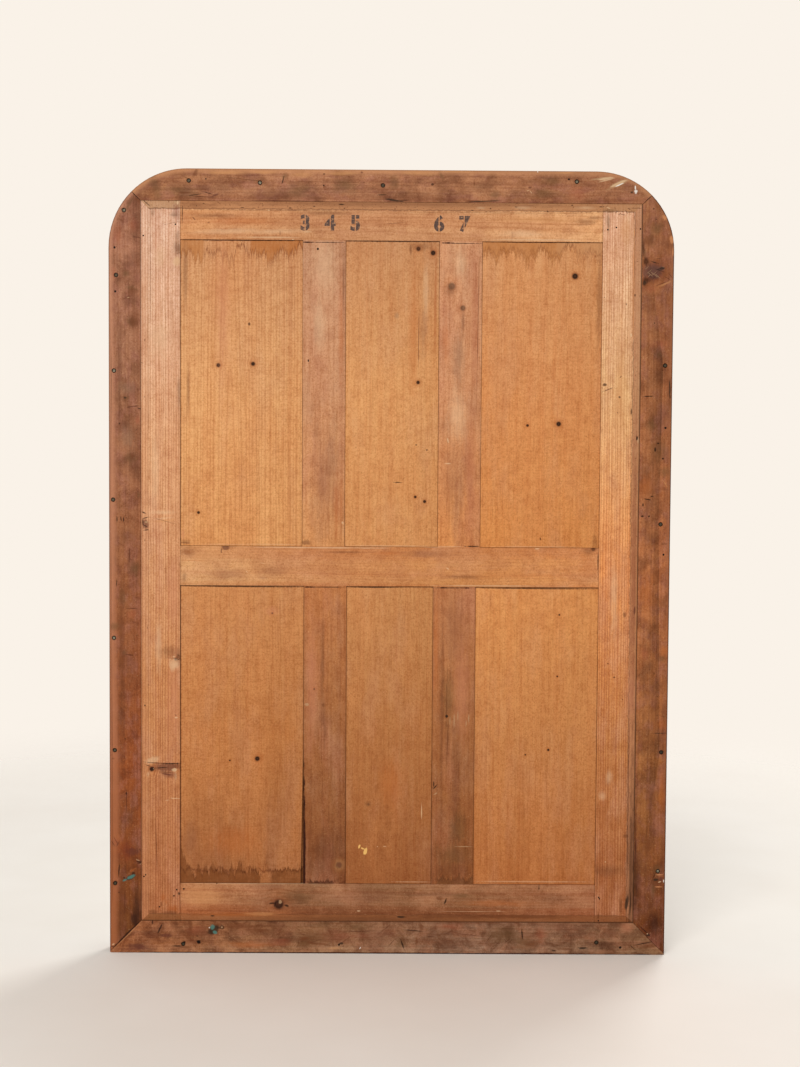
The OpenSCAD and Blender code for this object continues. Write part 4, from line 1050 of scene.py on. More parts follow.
# %% Marks of the carcase
carcase_marks = {
    "carcase_left": {
        "spot": [(456, 144, 4, 3, 37), (444, 164, 7, 3, -25), (479.5, 948.5, 1.4, 1.4),
            (470.5, 387, 1.7, 2.1), (455, 58, 7, 14, 20), (482, 109.5, 1.9, 1.2)],
        "stain": [(471, 995, 8, 8), (464, 714, 3, 12)],
        "smoke": [(448, 1310, 8, 34), (455, 880, 14, 34), (451, 1244, 9, 11), (460, 1229, 11, 8),
            (460, 1163, 13, 11), (479, 1032, 5, 110), (470, 946, 14, 11), (473, 881, 14, 14),
            (468, 748, 14, 16), (466, 521, 17, 26), (475, 421, 7, 62), (470, 886, 16, 8, 20),
            (465, 1240, 6, 8, 30), (452, 1279, 9, 7, -20), (456, 1128, 13, 9, -30)],
        "grey": [(466, 1010, 16, 12), (466, 925, 12, 20)],
        "brown": [(452, 1130, 10, 18), (458, 1180, 12, 8, 10), (477, 560, 5, 120), (476, 90, 6, 70),
            (446, 1340.5, 9.5, 4, -45), (474.5, 1304.5, 5.5, 2.4, -30), (449, 572.5, 2.8, 2.1),
            (467, 253.5, 3.5, 0.9), (491.5, 351, 2.2, 1.1), (457, 891.5, 3.5, 5.5),
            (461, 1167.5, 4, 0.8, -10)],
        "soot_and_shadow": [(450, 70, 8, 44), (441, 68, 4, 21, 8)],
        "red": [(470, 185, 16, 20)],
        "beige": [(448, 168, 4, 1, -20), (463.5, 1170, 2.2, 0.9, 10), (443, 161, 3.5, 0.8, 25)],
        "line": [(447, 165, 5, 0.8, -20), (448.5, 1275.5, 8.5, 0.7, -8), (440.5, 1163, 0.7, 17),
            (456, 978.5, 14, 1.1, 8), (449.5, 937.5, 3.5, 1.1, 50), (462, 717.5, 1.4, 11),
            (457.5, 620.5, 9.5, 1), (462, 537.5, 6.5, 1.2, -8), (468, 272.5, 1.1, 23),
            (492, 197.5, 7, 0.8, -55), (487, 202.5, 8.5, 0.8, -60), (483.5, 197.5, 5.5, 0.8, 60),
            (444.5, 187, 2.2, 0.8, -30), (471.5, 96.5, 0.7, 28)],
        "olive": [(461.5, 1334, 14, 3.5, 60), (460, 1187, 9, 5), (458, 1128, 11, 8, -20), (469, 994, 8, 5),
            (454, 692, 11, 12), (475, 640, 7, 14, 10), (488, 588, 10, 7), (473, 542, 6, 5),
            (460, 888, 12, 11), (445.5, 821.5, 2.7, 7.5), (467, 1211, 6, 6), (452.5, 1185, 7.5, 2.3, -10)],
        "rosy": [(482, 1280, 8, 17), (447, 954, 5, 8), (457, 610, 8, 8), (488, 200, 6, 8),
            (454, 1297, 8, 11), (488, 1211, 4, 13)],
        "crack": [(440.5, 1146.5, 0.9, 4.5), (444, 975, 3.5, 1.1, -10), (484, 779, 1.1, 6),
            (477, 779.5, 1, 4.5, 10), (472.5, 779, 1, 4), (467.5, 781.5, 1.6, 0.8), (485, 666, 0.9, 7.5, -6),
            (440.5, 583, 0.8, 4), (468.5, 288.5, 1.3, 2.4), (447, 162, 2.2, 0.6), (482, 149, 1.3, 14, -4),
            (494.5, 11, 3.5, 0.9), (471, 30.5, 40, 1.6, 45), (451, 1348.5, 12, 1, -45)],
        "hole": [(487.5, 1257.5, 2.2, 2.6), (486.5, 1180.5, 2.2, 2.3)],
        "murk": [(469, 994, 3, 1.9), (440.5, 147, 2.6, 13), (463, 136, 12, 4, 25), (472.5, 136, 2.3, 1.9),
            (487.5, 128, 3.5, 2.8)],
        "plum": [(456, 183, 11, 8)],
        "glow": [(455, 151.5, 5, 1.1, 35), (457, 150, 7, 1.4, 30)],
        "teal": [(460.5, 137.5, 9, 2.8, 25), (471, 132, 4.5, 2.1, 25)],
        "cream": [(492.5, 15, 3, 1.2, 30)],
        "mauve": [(449, 1200, 8, 17), (460, 1229, 11, 13)]},
    "carcase_right": {
        "spot": [(-449, 1240, 6, 8), (-449, 1207, 7, 6), (-460.5, 1331.5, 1.7, 1.3),
            (-465.5, 1313.5, 1.7, 1.1), (-465, 1131.5, 1.3, 1.3)],
        "smoke": [(-466, 1224, 22, 22), (-477, 1039, 16, 16), (-465, 753, 16, 16), (-463, 522, 12, 14),
            (-478, 486, 14, 14), (-472, 240, 5, 55), (-450, 125, 5, 42)],
        "hole": [(-487, 947, 2, 2), (-487, 722, 2, 2)],
        "orange": [(-488, 146, 7, 1), (-488, 124, 7, 1), (-480.5, 1317, 3.5, 5.5, 20),
            (-493.5, 1278, 3.5, 7, 8), (-496, 1257, 1.3, 9.5)],
        # dark marks along the joint with the backboard and at the foot, partly painted shadow
        "soot_and_shadow": [(-444, 1262, 2, 16), (-444, 140, 6, 60), (-480, 55, 14, 20), (-444.5, 186, 2.1, 23)],
        "brown": [(-455, 1275, 10, 12), (-494, 992.5, 2.2, 8), (-487, 741, 7, 2.5), (-471, 668.5, 1.7, 1.7),
            (-480, 434, 1.9, 1.2), (-489.5, 432.5, 3.5, 1), (-473, 509.5, 2.6, 3), (-479.5, 468, 1.9, 1.4),
            (-465, 197, 6, 30), (-484, 131, 12, 7), (-495, 12, 5, 5)],
        "olive": [(-447, 1254, 2.9, 9), (-474, 1076, 8, 8), (-476, 906, 16, 22), (-488, 869, 12, 10),
            (-487, 536, 7, 6), (-484, 156, 9, 9), (-476, 120, 5, 14), (-466, 1296, 13, 11, 30),
            (-458, 1278, 6, 13), (-462, 952, 8, 11)],
        "mauve": [(-461, 1222, 21, 18), (-455, 1157, 8, 25), (-475, 1272, 13, 11), (-484, 968, 11, 25)],
        "ash": [(-454, 1222, 14, 14), (-463, 1222, 13, 13), (-471, 1226, 13, 5, 12)],
        "line": [(-450, 1228, 9.5, 0.5, 40), (-454.5, 1221.5, 9.5, 0.5, 40), (-459, 1215.5, 9.5, 0.5, 40),
            (-465, 1212.5, 8.5, 0.5, 40), (-467, 1219.5, 8.5, 0.5, 40), (-470, 1245, 4, 0.6),
            (-486, 1211, 7.5, 0.6, -30), (-492, 1215.5, 5.5, 0.6, -50), (-475.5, 1200.5, 13, 0.6, 20),
            (-444, 218.5, 1.3, 76)],
        "murk": [(-477, 1227.5, 6.5, 2.5, 12), (-447, 1202, 5, 5), (-494, 1017, 2.2, 16),
            (-482, 137, 5, 2.8), (-468.5, 36, 4, 2.1)],
        "crack": [(-473.5, 1224, 11, 0.6, -18), (-463.5, 1238, 8.5, 0.8, -16), (-497.5, 1148.5, 0.6, 2.1),
            (-494.5, 1002, 1.4, 4), (-456, 1002.5, 11, 1, 3), (-469.5, 908.5, 2.2, 5),
            (-474.5, 919.5, 2.2, 1.4), (-483.5, 892.5, 1.9, 1.9), (-457, 820, 7, 1.1, -10),
            (-465, 825.5, 2.7, 1.1), (-449, 810.5, 1.6, 3.5), (-448, 790, 3.5, 1.9), (-460, 790, 1.9, 1.9),
            (-484, 402, 13, 0.7), (-461, 45.5, 14, 0.9, -42), (-451, 1348.5, 12, 1, 45),
            (-461.5, 1332, 1.1, 0.8)],
        "rosy": [(-456, 1191, 10, 8), (-455, 545, 8, 12), (-473.5, 1215.5, 2.5, 7.5, 55.9),
            (-474, 1095, 16, 8)],
        "tan": [(-484, 1201, 12, 1.9, 25), (-488, 848.5, 10, 1, -54)],
        "glare": [(-479.5, 1230, 1.7, 1.3)],
        "glow": [(-455, 846, 14, 19), (-491, 550, 6, 10), (-485, 417, 12, 12), (-459, 653, 12, 48),
            (-490, 300, 6, 42), (-490.5, 143, 7.5, 0.8), (-492, 127.5, 7, 0.8)],
        "white": [(-495.5, 134.5, 1.2, 3)],
        "cream": [(-488, 133, 3, 1.2, 20), (-467.5, 38.5, 1.2, 1.2), (-499, 76, 0.7, 3.5),
            (-499, 26, 0.7, 4)],
        "plum": [(-490.5, 138, 4, 4)],
        "beige": [(-450.5, 1228.5, 0.4, 5, -48.3), (-453.5, 1221, 0.4, 7, -49.7),
            (-454.5, 1214.5, 0.4, 5.5, -47.9), (-463, 1218.5, 0.4, 5.5, -51.8), (-469, 1214.5, 0.4, 8, 49.7),
            (-463, 1217, 0.4, 8, 52.8), (-455.5, 1217.5, 0.4, 6.5, 51.4)]},
    "carcase_top": {
        "spot": [(-71, 1371, 2.4, 2.4), (119.5, 1388, 2.1, 1.1)],
        "white": [(-400, 1373, 8, 1, 24), (-428, 1368, 1.2, 4), (-256, 1395, 1, 1.6), (-429, 1361, 3, 4)],
        "smoke": [(330, 1362, 50, 9), (200, 1352, 60, 14), (-20, 1350, 80, 12), (300, 1364, 29, 16),
            (-156, 1368, 23, 11), (-244, 1378, 16, 4)],
        "stain": [(96, 1390, 14, 6)],
        "olive": [(357, 1353, 23, 7), (188, 1383, 6, 6), (166, 1359, 26, 13), (84, 1366, 23, 13),
            (-4, 1374, 10, 13), (-86.5, 1387.5, 3.5, 8, 30), (-181, 1354, 10, 9), (-267, 1357, 16, 10),
            (416, 1365, 10, 24, 20), (370, 1358, 32, 10), (-280, 1379, 18, 8)],
        "crack": [(344, 1350.5, 16, 0.8, 8), (323.5, 1353.5, 13, 0.8, -15), (191.5, 1377, 1.3, 7, -15),
            (18, 1352.5, 10, 1.1), (-451, 1348.5, 12, 0.8, 45), (451, 1348.5, 12, 0.8, -45)],
        "brown": [(345.5, 1388, 3.5, 8, -20), (118.5, 1366, 3.5, 1.8, 10), (117.5, 1361.5, 2.3, 1.1),
            (-144.5, 1375, 1.3, 6), (366, 1353.5, 13, 1.6), (-141, 1343, 16, 1.3)],
        "tan": [(295, 1389, 36, 3.5), (228.5, 1390, 23, 2.9), (92, 1389, 31, 4), (159, 1386, 21, 5),
            (-48, 1391, 29, 5), (-112, 1394, 31, 1.6), (-305.5, 1393.5, 16, 1.6)],
        "plum": [(53.5, 1391.5, 3, 2.6), (-242.5, 1367, 2.9, 1.8), (310.5, 1350, 7, 2.1, 20)],
        "mauve": [(52, 1366, 5, 12)],
        "murk": [(-1, 1343.5, 11, 2.1, -10), (-5.5, 1343, 14, 1.6, -8), (-159, 1342.5, 33, 1.1, 2),
            (-422, 1360, 2.6, 2)],
        "line": [(192, 1341, 62, 0.5), (-301, 1339.5, 23, 0.5), (334, 1347, 23, 0.7, -4)],
        "hole": [(-112.5, 1337, 3.5, 1.1), (327, 1378, 1.6, 1.6), (-311, 1382, 2.2, 1.8),
            (120, 1368, 1.6, 1.6)],
        "cream": [(-239.5, 1362, 3.5, 0.7, 25), (-244.5, 1359, 3.5, 0.7, -50), (-378, 1381, 16, 1, 14),
            (-400, 1373, 8, 0.9, 24), (-428, 1368, 1.2, 4), (-376, 1383.5, 17, 2.2, 9),
            (-398, 1375, 18, 2.4, 24)],
        "rosy": [(-327, 1358, 16, 12)],
        "beige": [(-366, 1383.5, 22, 2.2, 8), (-398, 1374, 24, 4, 24)],
        "soot_and_shadow": [(-12, 1342, 16, 1.3, 4)]},
    "carcase_bottom": {
        "crack": [(408, 45, 2, 10, -25), (-27, 17, 1.6, 12, 20), (-46, 42.5, 19, 1, -5),
            (-242, 37.5, 1.6, 10, 8), (-299, 7, 5.5, 1.3), (-461.5, 21, 19, 0.9, 12),
            (-442, 13, 6.5, 0.8, -40), (-350, 12.5, 9.5, 1.2), (341.5, 30.5, 2.1, 0.9), (422, 56, 1.2, 5),
            (377, 12.5, 9.5, 1.2)],
        "smoke": [(357, 46, 7, 14, 10), (-345, 38, 14, 12), (200, 52, 70, 10), (213, 35, 19, 19),
            (-81, 33, 13, 19), (-406, 43, 12, 12, 20), (-357, 52, 16, 9), (334, 35, 19, 19),
            (-110, 21, 35, 13)],
        "bruise": [(452, 8, 20, 5, 4)],
        "hole": [(-419, 13.5, 2.6, 2.2), (87, 16, 2, 2), (365, 18.5, 2.8, 2.1), (339, 20.5, 4, 3.5),
            (339, 19.5, 4, 3), (365, 18.5, 3, 2.5)],
        "line": [(-471, 28.5, 40, 0.8, -45), (53.5, 40.5, 32, 0.8, 2), (-7.5, 20, 9.5, 0.8, 50),
            (-215.5, 24.5, 9, 0.8, 40), (-78, 32, 9, 0.8), (-414, 31, 3.5, 0.7, -30),
            (160, 20.5, 0.6, 8.5, -12.7), (149, 34, 0.5, 9.5, 79.9), (129.5, 22.5, 0.5, 9.5, -71.8),
            (155.5, 7, 0.4, 7, -69.4), (76, 24, 0.5, 12, -53.1), (5.5, 44.5, 0.4, 12.5, -50),
            (-150, 34.5, 0.6, 24, 83.9), (-181, 26.5, 0.6, 13, -34.6), (-200.5, 19.5, 0.6, 9, 79.1),
            (-212.5, 24.5, 0.6, 4.5, 44.1), (-220.5, 23, 0.6, 7, -45)],
        "brown": [(-320, 10, 16, 3), (353, 51, 3.5, 9, 10), (261, 48, 41, 6, -2), (-60.5, 46.5, 4, 9.5),
            (-52.5, 23.5, 2.2, 9.5), (-152.5, 15.5, 4, 2.2), (-260, 21, 14, 9), (-471, 16, 16, 4, 8),
            (354.5, 49, 3.5, 12, 10), (353.5, 23, 2.8, 2.4), (405.5, 53.5, 6.5, 1.9, -12),
            (403.5, 44, 2.8, 8.5, -20), (365, 10.5, 14, 2.8), (152.5, 26.5, 10, 4, 10),
            (136, 19.5, 8, 3, -20), (115.5, 16.5, 13, 2.5, -8), (236, 42, 28, 4, -3), (-196, 58.5, 132, 2.5),
            (-242.5, 39, 1.3, 11.5, -7)],
        "red": [(100, 30, 60, 12)],
        "glow": [(245, 15, 47, 6)],
        "rosy": [(344, 41, 19, 9), (-276, 34, 10, 19), (194, 19, 22, 8), (-110, 50, 25, 6)],
        "olive": [(130, 29, 35, 15), (117, 52, 19, 9), (-20, 17, 6, 8), (-24, 20, 10, 9), (-209, 34, 38, 18),
            (149, 19, 11, 8), (54, 49, 28, 9), (314, 44, 7, 10, -30), (-248, 21, 25, 13)],
        "murk": [(83, 18.5, 4, 2.2), (-352, 11.5, 9.5, 1.9, 5), (312, 42, 7, 11, -62)],
        "tan": [(93.5, 9.5, 12, 2.9), (469, 29, 36, 0.8, 45)],
        "white": [(49, 10, 2.2, 0.8, 60), (320, 46, 0.9, 1.3)],
        "mauve": [(22, 33, 38, 19), (-308, 51, 35, 8)],
        "blush": [(-430, 50, 12, 12)],
        "teal": [(315, 48, 2.1, 4, -20), (309.5, 38, 3.5, 2.6, -40), (314.5, 47, 4, 4.5, -20),
            (309.5, 37.5, 4, 2.9, -30)],
        "grey": [(297, 49, 2.8, 2.8)],
        "plum": [(396, 32, 12, 3.5), (453, 12, 19, 5)],
        # a painted contact shadow along the foot
        "soot_and_shadow": [(0, 0, 500, 2.4)],
        "spot": [(297, 47, 4, 4)],
        "beige": [(297.5, 47, 1.6, 1.9)],
        # a painted contact shadow along the foot
        "gap": [(0, 0.5, 520, 1.8)]}}
marks_on = {**frame_marks, **panel_marks, **carcase_marks}
print("marks", tally(carcase_marks), "of", tally(marks_on))

# %% [markdown]
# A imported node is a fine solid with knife-sharp arrises. A real board is eased along its edges
# by planing and handling. Each board is copied, its triangles are merged into flat faces, and
# its long edges are bevelled a little, so that every joint catches a line of light and shadow.

# %% Ease the boards
def finished(name, bm, material, replaced=(), smooth=30):
    """Makes a piece from a bmesh, gives it its finish and fixes it to the model."""
    mesh = bpy.data.meshes.new(name)
    bmesh.ops.recalc_face_normals(bm, faces=bm.faces)
    bm.to_mesh(mesh)
    bm.free()
    mesh.polygons.foreach_set("use_smooth", [smooth > 0] * len(mesh.polygons))
    if smooth:
        mesh.set_sharp_from_angle(angle=math.radians(smooth))
    piece = bpy.data.objects.new(name, mesh)
    piece.data.materials.append(material)
    bpy.context.scene.collection.objects.link(piece)
    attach(piece, "root")
    if replaced:
        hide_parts(*replaced)
    print(name, "faces", len(mesh.polygons))


arris, shortest_edge = 0.6, 9


def eased_copy(node):
    bm = bmesh.new()
    bm.from_mesh(frame["nodes"][node].data)
    bmesh.ops.remove_doubles(bm, verts=bm.verts, dist=0.01 * MM)
    bmesh.ops.dissolve_limit(bm, angle_limit=math.radians(0.5), verts=bm.verts, edges=bm.edges)
    arrises = [e for e in bm.edges if e.calc_length() > shortest_edge * MM
               and e.calc_face_angle(0) > math.radians(25)]
    bmesh.ops.bevel(bm, geom=arrises, offset=arris * MM, offset_type="OFFSET", segments=2,
                    profile=0.5, affect="EDGES", material=-1, clamp_overlap=False)
    return bm


# The top rail's face is planed down by this many mm, so that the ink on it stays inside the box.
ink_depth = 0.05
for name, board in {**boards, **carcase}.items():
    if name in openings:
        edges = between(*openings[name])
    elif board["grain"] == "x" and name in boards:
        edges = rail_edges(name)
    else:
        edges = around(name)
    wood = softwood("pine_" + name, dict(board, marks=marks_on.get(name, {})), edges)
    bm = eased_copy(name)
    if name == "top_rail":
        bmesh.ops.translate(bm, verts=[v for v in bm.verts if v.co.y > cad_high.y - 0.01 * MM],
                            vec=(0, -ink_depth * MM, 0))
    finished("eased_" + name, bm, wood, [name])

# %% [markdown]
# Slotted steel screws hold the carcase to the oak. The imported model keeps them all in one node,
# so its loose solids are told apart first, by walking from point to point along the edges.

# %% Find the screws
def islands(node):
    """The loose solids of a node, each as the list of its points, in a fixed order."""
    bm = bmesh.new()
    bm.from_mesh(frame["nodes"][node].data)
    bmesh.ops.remove_doubles(bm, verts=bm.verts, dist=0.01 * MM)
    waiting = dict.fromkeys(bm.verts)
    found = []
    while waiting:
        front = [next(iter(waiting))]
        del waiting[front[0]]
        solid = []
        while front:
            vert = front.pop()
            solid.append(vert.co.copy())
            for edge in vert.link_edges:
                other = edge.other_vert(vert)
                if other in waiting:
                    del waiting[other]
                    front.append(other)
        found.append(solid)
    bm.free()
    return found


screw_solids = islands("frame_screws")
print("screws", len(screw_solids))

# %% [markdown]
# One screw is made from a circle: two cuts give the slot's sides, the strip between them is
# pushed in, and the rim is drawn down into the cone and the shank.

# %% Turn one screw
def rubbed_layer(bm):
    """How rubbed each point of a shape is, and on the screws where painted shade falls: the materials read
    it as an attribute.
    """
    return bm.verts.layers.float.get("rubbed") or bm.verts.layers.float.new("rubbed")


def cut_lines(bm, half):
    """Cuts a flat shape along two lines, one on either side of its middle."""
    for side in (-1, 1):
        bmesh.ops.bisect_plane(bm, geom=bm.verts[:] + bm.edges[:] + bm.faces[:],
                               plane_co=(side * half, 0, 0), plane_no=(1, 0, 0))


def only(geom, kind):
    return [part for part in geom if isinstance(part, kind)]


head_r, shank_r, screw_long = 3.4, 1.9, 34
slot_w, slot_depth, rim_h = 0.9, 0.9, 0.6


def slotted_screw():
    bm = bmesh.new()
    rubbed = rubbed_layer(bm)
    bmesh.ops.create_circle(bm, cap_ends=True, segments=20, radius=head_r)
    bmesh.ops.inset_individual(bm, faces=bm.faces[:], thickness=head_r * 0.45)
    # the middle of the head is marked as rubbed; the rim is left dark, as painted shade of the countersink
    for vert in bm.verts:
        vert[rubbed] = vert.co.length < 0.8 * head_r
    cut_lines(bm, slot_w / 2)
    border = [e for e in bm.edges if e.is_boundary]
    for step_down, step_in in ((rim_h, 1), (head_r - shank_r, shank_r / head_r), (screw_long, 0.2)):
        drawn = bmesh.ops.extrude_edge_only(bm, edges=border)["geom"]
        verts = only(drawn, bmesh.types.BMVert)
        border = only(drawn, bmesh.types.BMEdge)
        bmesh.ops.translate(bm, verts=verts, vec=(0, 0, -step_down))
        bmesh.ops.scale(bm, verts=verts, vec=(step_in, step_in, 1))
    bmesh.ops.holes_fill(bm, edges=border, sides=0)
    slot = [f for f in bm.faces if abs(f.calc_center_median().x) < slot_w / 4
            and f.calc_center_median().z > -0.01]
    pushed = bmesh.ops.extrude_face_region(bm, geom=slot)["geom"]
    bmesh.ops.translate(bm, verts=only(pushed, bmesh.types.BMVert), vec=(0, 0, -slot_depth))
    bmesh.ops.delete(bm, geom=slot, context="FACES_ONLY")
    bmesh.ops.recalc_face_normals(bm, faces=bm.faces)
    mesh = bpy.data.meshes.new("one_screw")
    bm.to_mesh(mesh)
    bm.free()
    return mesh


one_screw = slotted_screw()
print("faces of a screw", len(one_screw.polygons))

# %% [markdown]
# Old steel is brown with rust, and screwdrivers have rubbed the middle of each head a little
# brighter, which is partly a painted highlight; the rim of each head is painted dark as shade of its
# countersink. The screw is copied to each place, and turned by hand, each slot points its own way.

# %% Rust the steel and seat the screws
def add_copy(bm, mesh, matrix):
    count = len(bm.verts)
    bm.from_mesh(mesh)
    bm.verts.ensure_lookup_table()
    bmesh.ops.transform(bm, matrix=matrix, verts=bm.verts[count:])


old_steel, tree = new_material("rusted_steel")
place = to_mm(tree)
bloom = put(tree, "TexNoise", {"Vector": place, "Scale": 0.7, "Detail": 4, "Roughness": 0.7})
batch = put(tree, "TexNoise", {"Vector": place, "Scale": 0.011, "Detail": 1})
batch = put(tree, "Math", [bloom, 0.5, batch], operation="MULTIPLY_ADD")
# a rubbed middle, partly a painted highlight, and a rim painted dark as shade of the countersink
rubbed_centre_shaded_rim = put(tree, "Attribute", {}, "Fac", attribute_name="rubbed")
rubbed_centre_shaded_rim = put(tree, "Math", [rubbed_centre_shaded_rim, batch], operation="MULTIPLY")
tone = put(tree, "ValToRGB", [rubbed_centre_shaded_rim],
           stops=[(0.1, "#140E0A"), (0.5, "#332A21"), (0.75, "#57503F"), (0.95, "#8E8A78")])
rough = put(tree, "MapRange", {0: bloom, 3: 0.35, 4: 0.75})
bump = put(tree, "Bump", {"Height": bloom, "Strength": 0.5, "Distance": 0.0002})
shade(tree, {"Base Color": tone, "Metallic": 0.85, "Roughness": rough, "Normal": bump})

random.seed(7)
bm = bmesh.new()
face_up = Matrix.Rotation(math.radians(-90), 4, "X")
for solid in screw_solids:
    head = max(p.y for p in solid)
    rim = [p for p in solid if p.y > head - 0.2 * MM]
    centre = sum(rim, Vector()) / len(rim)
    turn = Matrix.Rotation(random.uniform(0, math.pi), 4, "Z")
    size = Matrix.Scale(MM, 4)
    add_copy(bm, one_screw, Matrix.Translation(centre) @ face_up @ turn @ size)
finished("slotted_screws", bm, old_steel, ["frame_screws"])
for node in ("tenon_brads", "backboard_brads"):
    frame["nodes"][node].data.materials[0] = old_steel

# %% [markdown]
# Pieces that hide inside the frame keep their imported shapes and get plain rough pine. The
# glass is an old silvered plate. Its tin and mercury have gone a little cloudy near the edges.

# %% Finish the hidden blocks and the glass
rough_fact = dict(grain="x", ring=3, wave=4, line=0.4, pith=(90, 30, 0), band="#D0A078", banding=0.4,
                  patina=[("#C89268", 0.4)], saw=0.5, tones=["#C08A5C", "#C99668"], grime=(0, 0, 0, 0))
for name, grain in (("mitre_tongues", "x"), ("glass_blocks", "z"), ("seat_blocks", "x")):
    wood = softwood("rough_" + name, dict(rough_fact, grain=grain), around(name))
    frame["nodes"][name].data.materials[0] = wood

silver, tree = new_material("silvered_glass")
place = to_mm(tree)
low, high = around("mirror_plate")
from_low = put(tree, "VectorMath", [place, low], operation="SUBTRACT")
from_high = put(tree, "VectorMath", [high, place], operation="SUBTRACT")
gap = put(tree, "VectorMath", [from_low, from_high], operation="MINIMUM")
rim = put(tree, "Math", [put(tree, "SeparateXYZ", [gap], "X"),
                         put(tree, "SeparateXYZ", [gap], "Z")], operation="MINIMUM")
cloud = put(tree, "TexNoise", {"Vector": place, "Scale": 0.02, "Detail": 6, "Roughness": 0.65})
freckle = put(tree, "TexNoise", {"Vector": place, "Scale": 0.16, "Detail": 5, "Roughness": 0.7})
near = put(tree, "MapRange", [rim, 8, 90, 0.30, 0], interpolation_type="SMOOTHSTEP")
fox = put(tree, "Math", [freckle, near], operation="ADD")
fox = put(tree, "MapRange", [fox, 0.74, 0.84, 0, 0.85])
tone = put(tree, "ValToRGB", [cloud], stops=[(0.3, "#DCE0DE"), (0.6, "#E9ECEA")])
tone = put(tree, "Mix", {0: fox, 6: tone, 7: "#6F6A5E"}, **paint_over)
rough = put(tree, "MapRange", {0: fox, 3: 0.02, 4: 0.45})
shade(tree, {"Base Color": tone, "Metallic": 1.0, "Roughness": rough})
frame["nodes"]["mirror_plate"].data.materials[0] = silver
print("glass is", round(high[0] - low[0]), "mm wide and", round(high[2] - low[2]), "mm high")

# %% [markdown]
# Plain numbers were stencilled on the top rail in brown ink that has mostly worn off. The
# figures here are generic ones. Each is a thin flat mesh made from a text curve, widened,
# and cut by the upright bridge that holds the middle of a stencil in place.

# %% Stencil the numbers
ink, tree = new_material("stencil_ink")
place = to_mm(tree)
wear = put(tree, "TexNoise", {"Vector": place, "Scale": 0.16, "Detail": 5, "Roughness": 0.75})
streak = put(tree, "VectorMath", [place, (0.02, 0.1, 0.3)], operation="MULTIPLY")
streak = put(tree, "TexNoise", {"Vector": streak, "Scale": 1, "Detail": 3})
wear = put(tree, "Math", [streak, 0.5, wear], operation="MULTIPLY_ADD")
tone = put(tree, "ValToRGB", [wear], stops=[(0.7, "#4A362E"), (0.82, "#6E4E3C"), (0.92, "#B98A64")])
shade(tree, {"Base Color": tone, "Roughness": 0.8})


def stencilled(digits, left, bottom, pitch, height):
    bm = bmesh.new()
    rail_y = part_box("top_rail")[1].y
    for i, digit in enumerate(digits):
        curve = bpy.data.curves.new("digit", "FONT")
        curve.body = digit
        curve.size = height * 1.37
        curve.offset = height * 0.06
        curve.align_x = "CENTER"
        shape = bpy.data.objects.new("digit", curve)
        bpy.context.scene.collection.objects.link(shape)
        bpy.context.view_layer.update()
        flat = bpy.data.meshes.new_from_object(shape.evaluated_get(bpy.context.evaluated_depsgraph_get()))
        bpy.data.objects.remove(shape)
        one = bmesh.new()
        one.from_mesh(flat)
        bmesh.ops.remove_doubles(one, verts=one.verts, dist=height * 0.001)
        cut_lines(one, height * 0.035)
        bridge = [f for f in one.faces if abs(f.calc_center_median().x) < height * 0.03]
        bmesh.ops.delete(one, geom=bridge, context="FACES")
        one.to_mesh(flat)
        one.free()
        seat = Matrix.Translation((left - (i + 0.5) * pitch, rail_y / MM - 0.4 * ink_depth, bottom))
        onto_back = Matrix(((-1, 0, 0, 0), (0, 0, 1, 0), (0, 1, 0, 0), (0, 0, 0, 1)))
        add_copy(bm, flat, Matrix.Scale(MM, 4) @ seat @ onto_back)
    return bm


for name, digits, left in (("stencil_left", "345", 174), ("stencil_right", "67", -61)):
    finished(name, stencilled(digits, left, 1290, 44, 26), ink, smooth=0)

# %% [markdown]
# The front is hidden in the photograph, so it follows what such French frames have: a broad
# oak moulding round a slip. Oak is ring-porous. Each ring starts with open pores that fill
# with dark wax and show as short dashes along the grain, and a carved frame stays dark in its
# hollows and shines where hands and dusters reach. Every piece says in an attribute named
# "rubbed" how far each of its points is out of the hollows.

# %% Carved oak
def carved_oak(name, grain):
    material, tree = new_material(name)
    place = to_mm(tree)
    lay = grain_lay(tree, place, grain)[0]
    rings = stretched_noise(tree, lay, (0.22, 0.22, 0.006), 3, 0.6)
    pores = stretched_noise(tree, lay, (1.6, 1.6, 0.07), 2, 0.6)
    fleck = stretched_noise(tree, lay, (0.12, 0.3, 0.03), 3, 0.7)
    patina = put(tree, "TexNoise", {"Vector": place, "Scale": 0.018, "Detail": 4, "Roughness": 0.6})
    rubbed = put(tree, "Attribute", {}, "Fac", attribute_name="rubbed")
    rubbed = put(tree, "Math", [patina, 0.45, rubbed], operation="MULTIPLY_ADD")
    tone = put(tree, "ValToRGB", [rubbed], stops=[(0.2, "#4E3320"), (0.6, "#6F4A2B"), (1.0, "#94683E")])
    ring_tone = put(tree, "ValToRGB", [rings], stops=[(0.35, 0.78), (0.6, 1.0)])
    tone = put(tree, "Mix", {0: 0.8, 6: tone, 7: ring_tone}, **stain_over)
    fleck_share = put(tree, "MapRange", [fleck, 0.62, 0.7, 0, 0.28])
    tone = put(tree, "Mix", {0: fleck_share, 6: tone, 7: "#B98F5E"}, **paint_over)
    pore_share = put(tree, "MapRange", [pores, 0.58, 0.66, 0, 0.65])
    tone = put(tree, "Mix", {0: pore_share, 6: tone, 7: "#2E1C10"}, **paint_over)
    relief = put(tree, "Math", [pore_share, -0.9, rings], operation="MULTIPLY_ADD")
    bump = put(tree, "Bump", {"Height": relief, "Strength": 0.5, "Distance": 0.0003})
    rough = put(tree, "MapRange", [patina, 0.3, 0.7, 0.36, 0.58])
    shade(tree, {"Base Color": tone, "Roughness": rough, "Normal": bump})
    return material


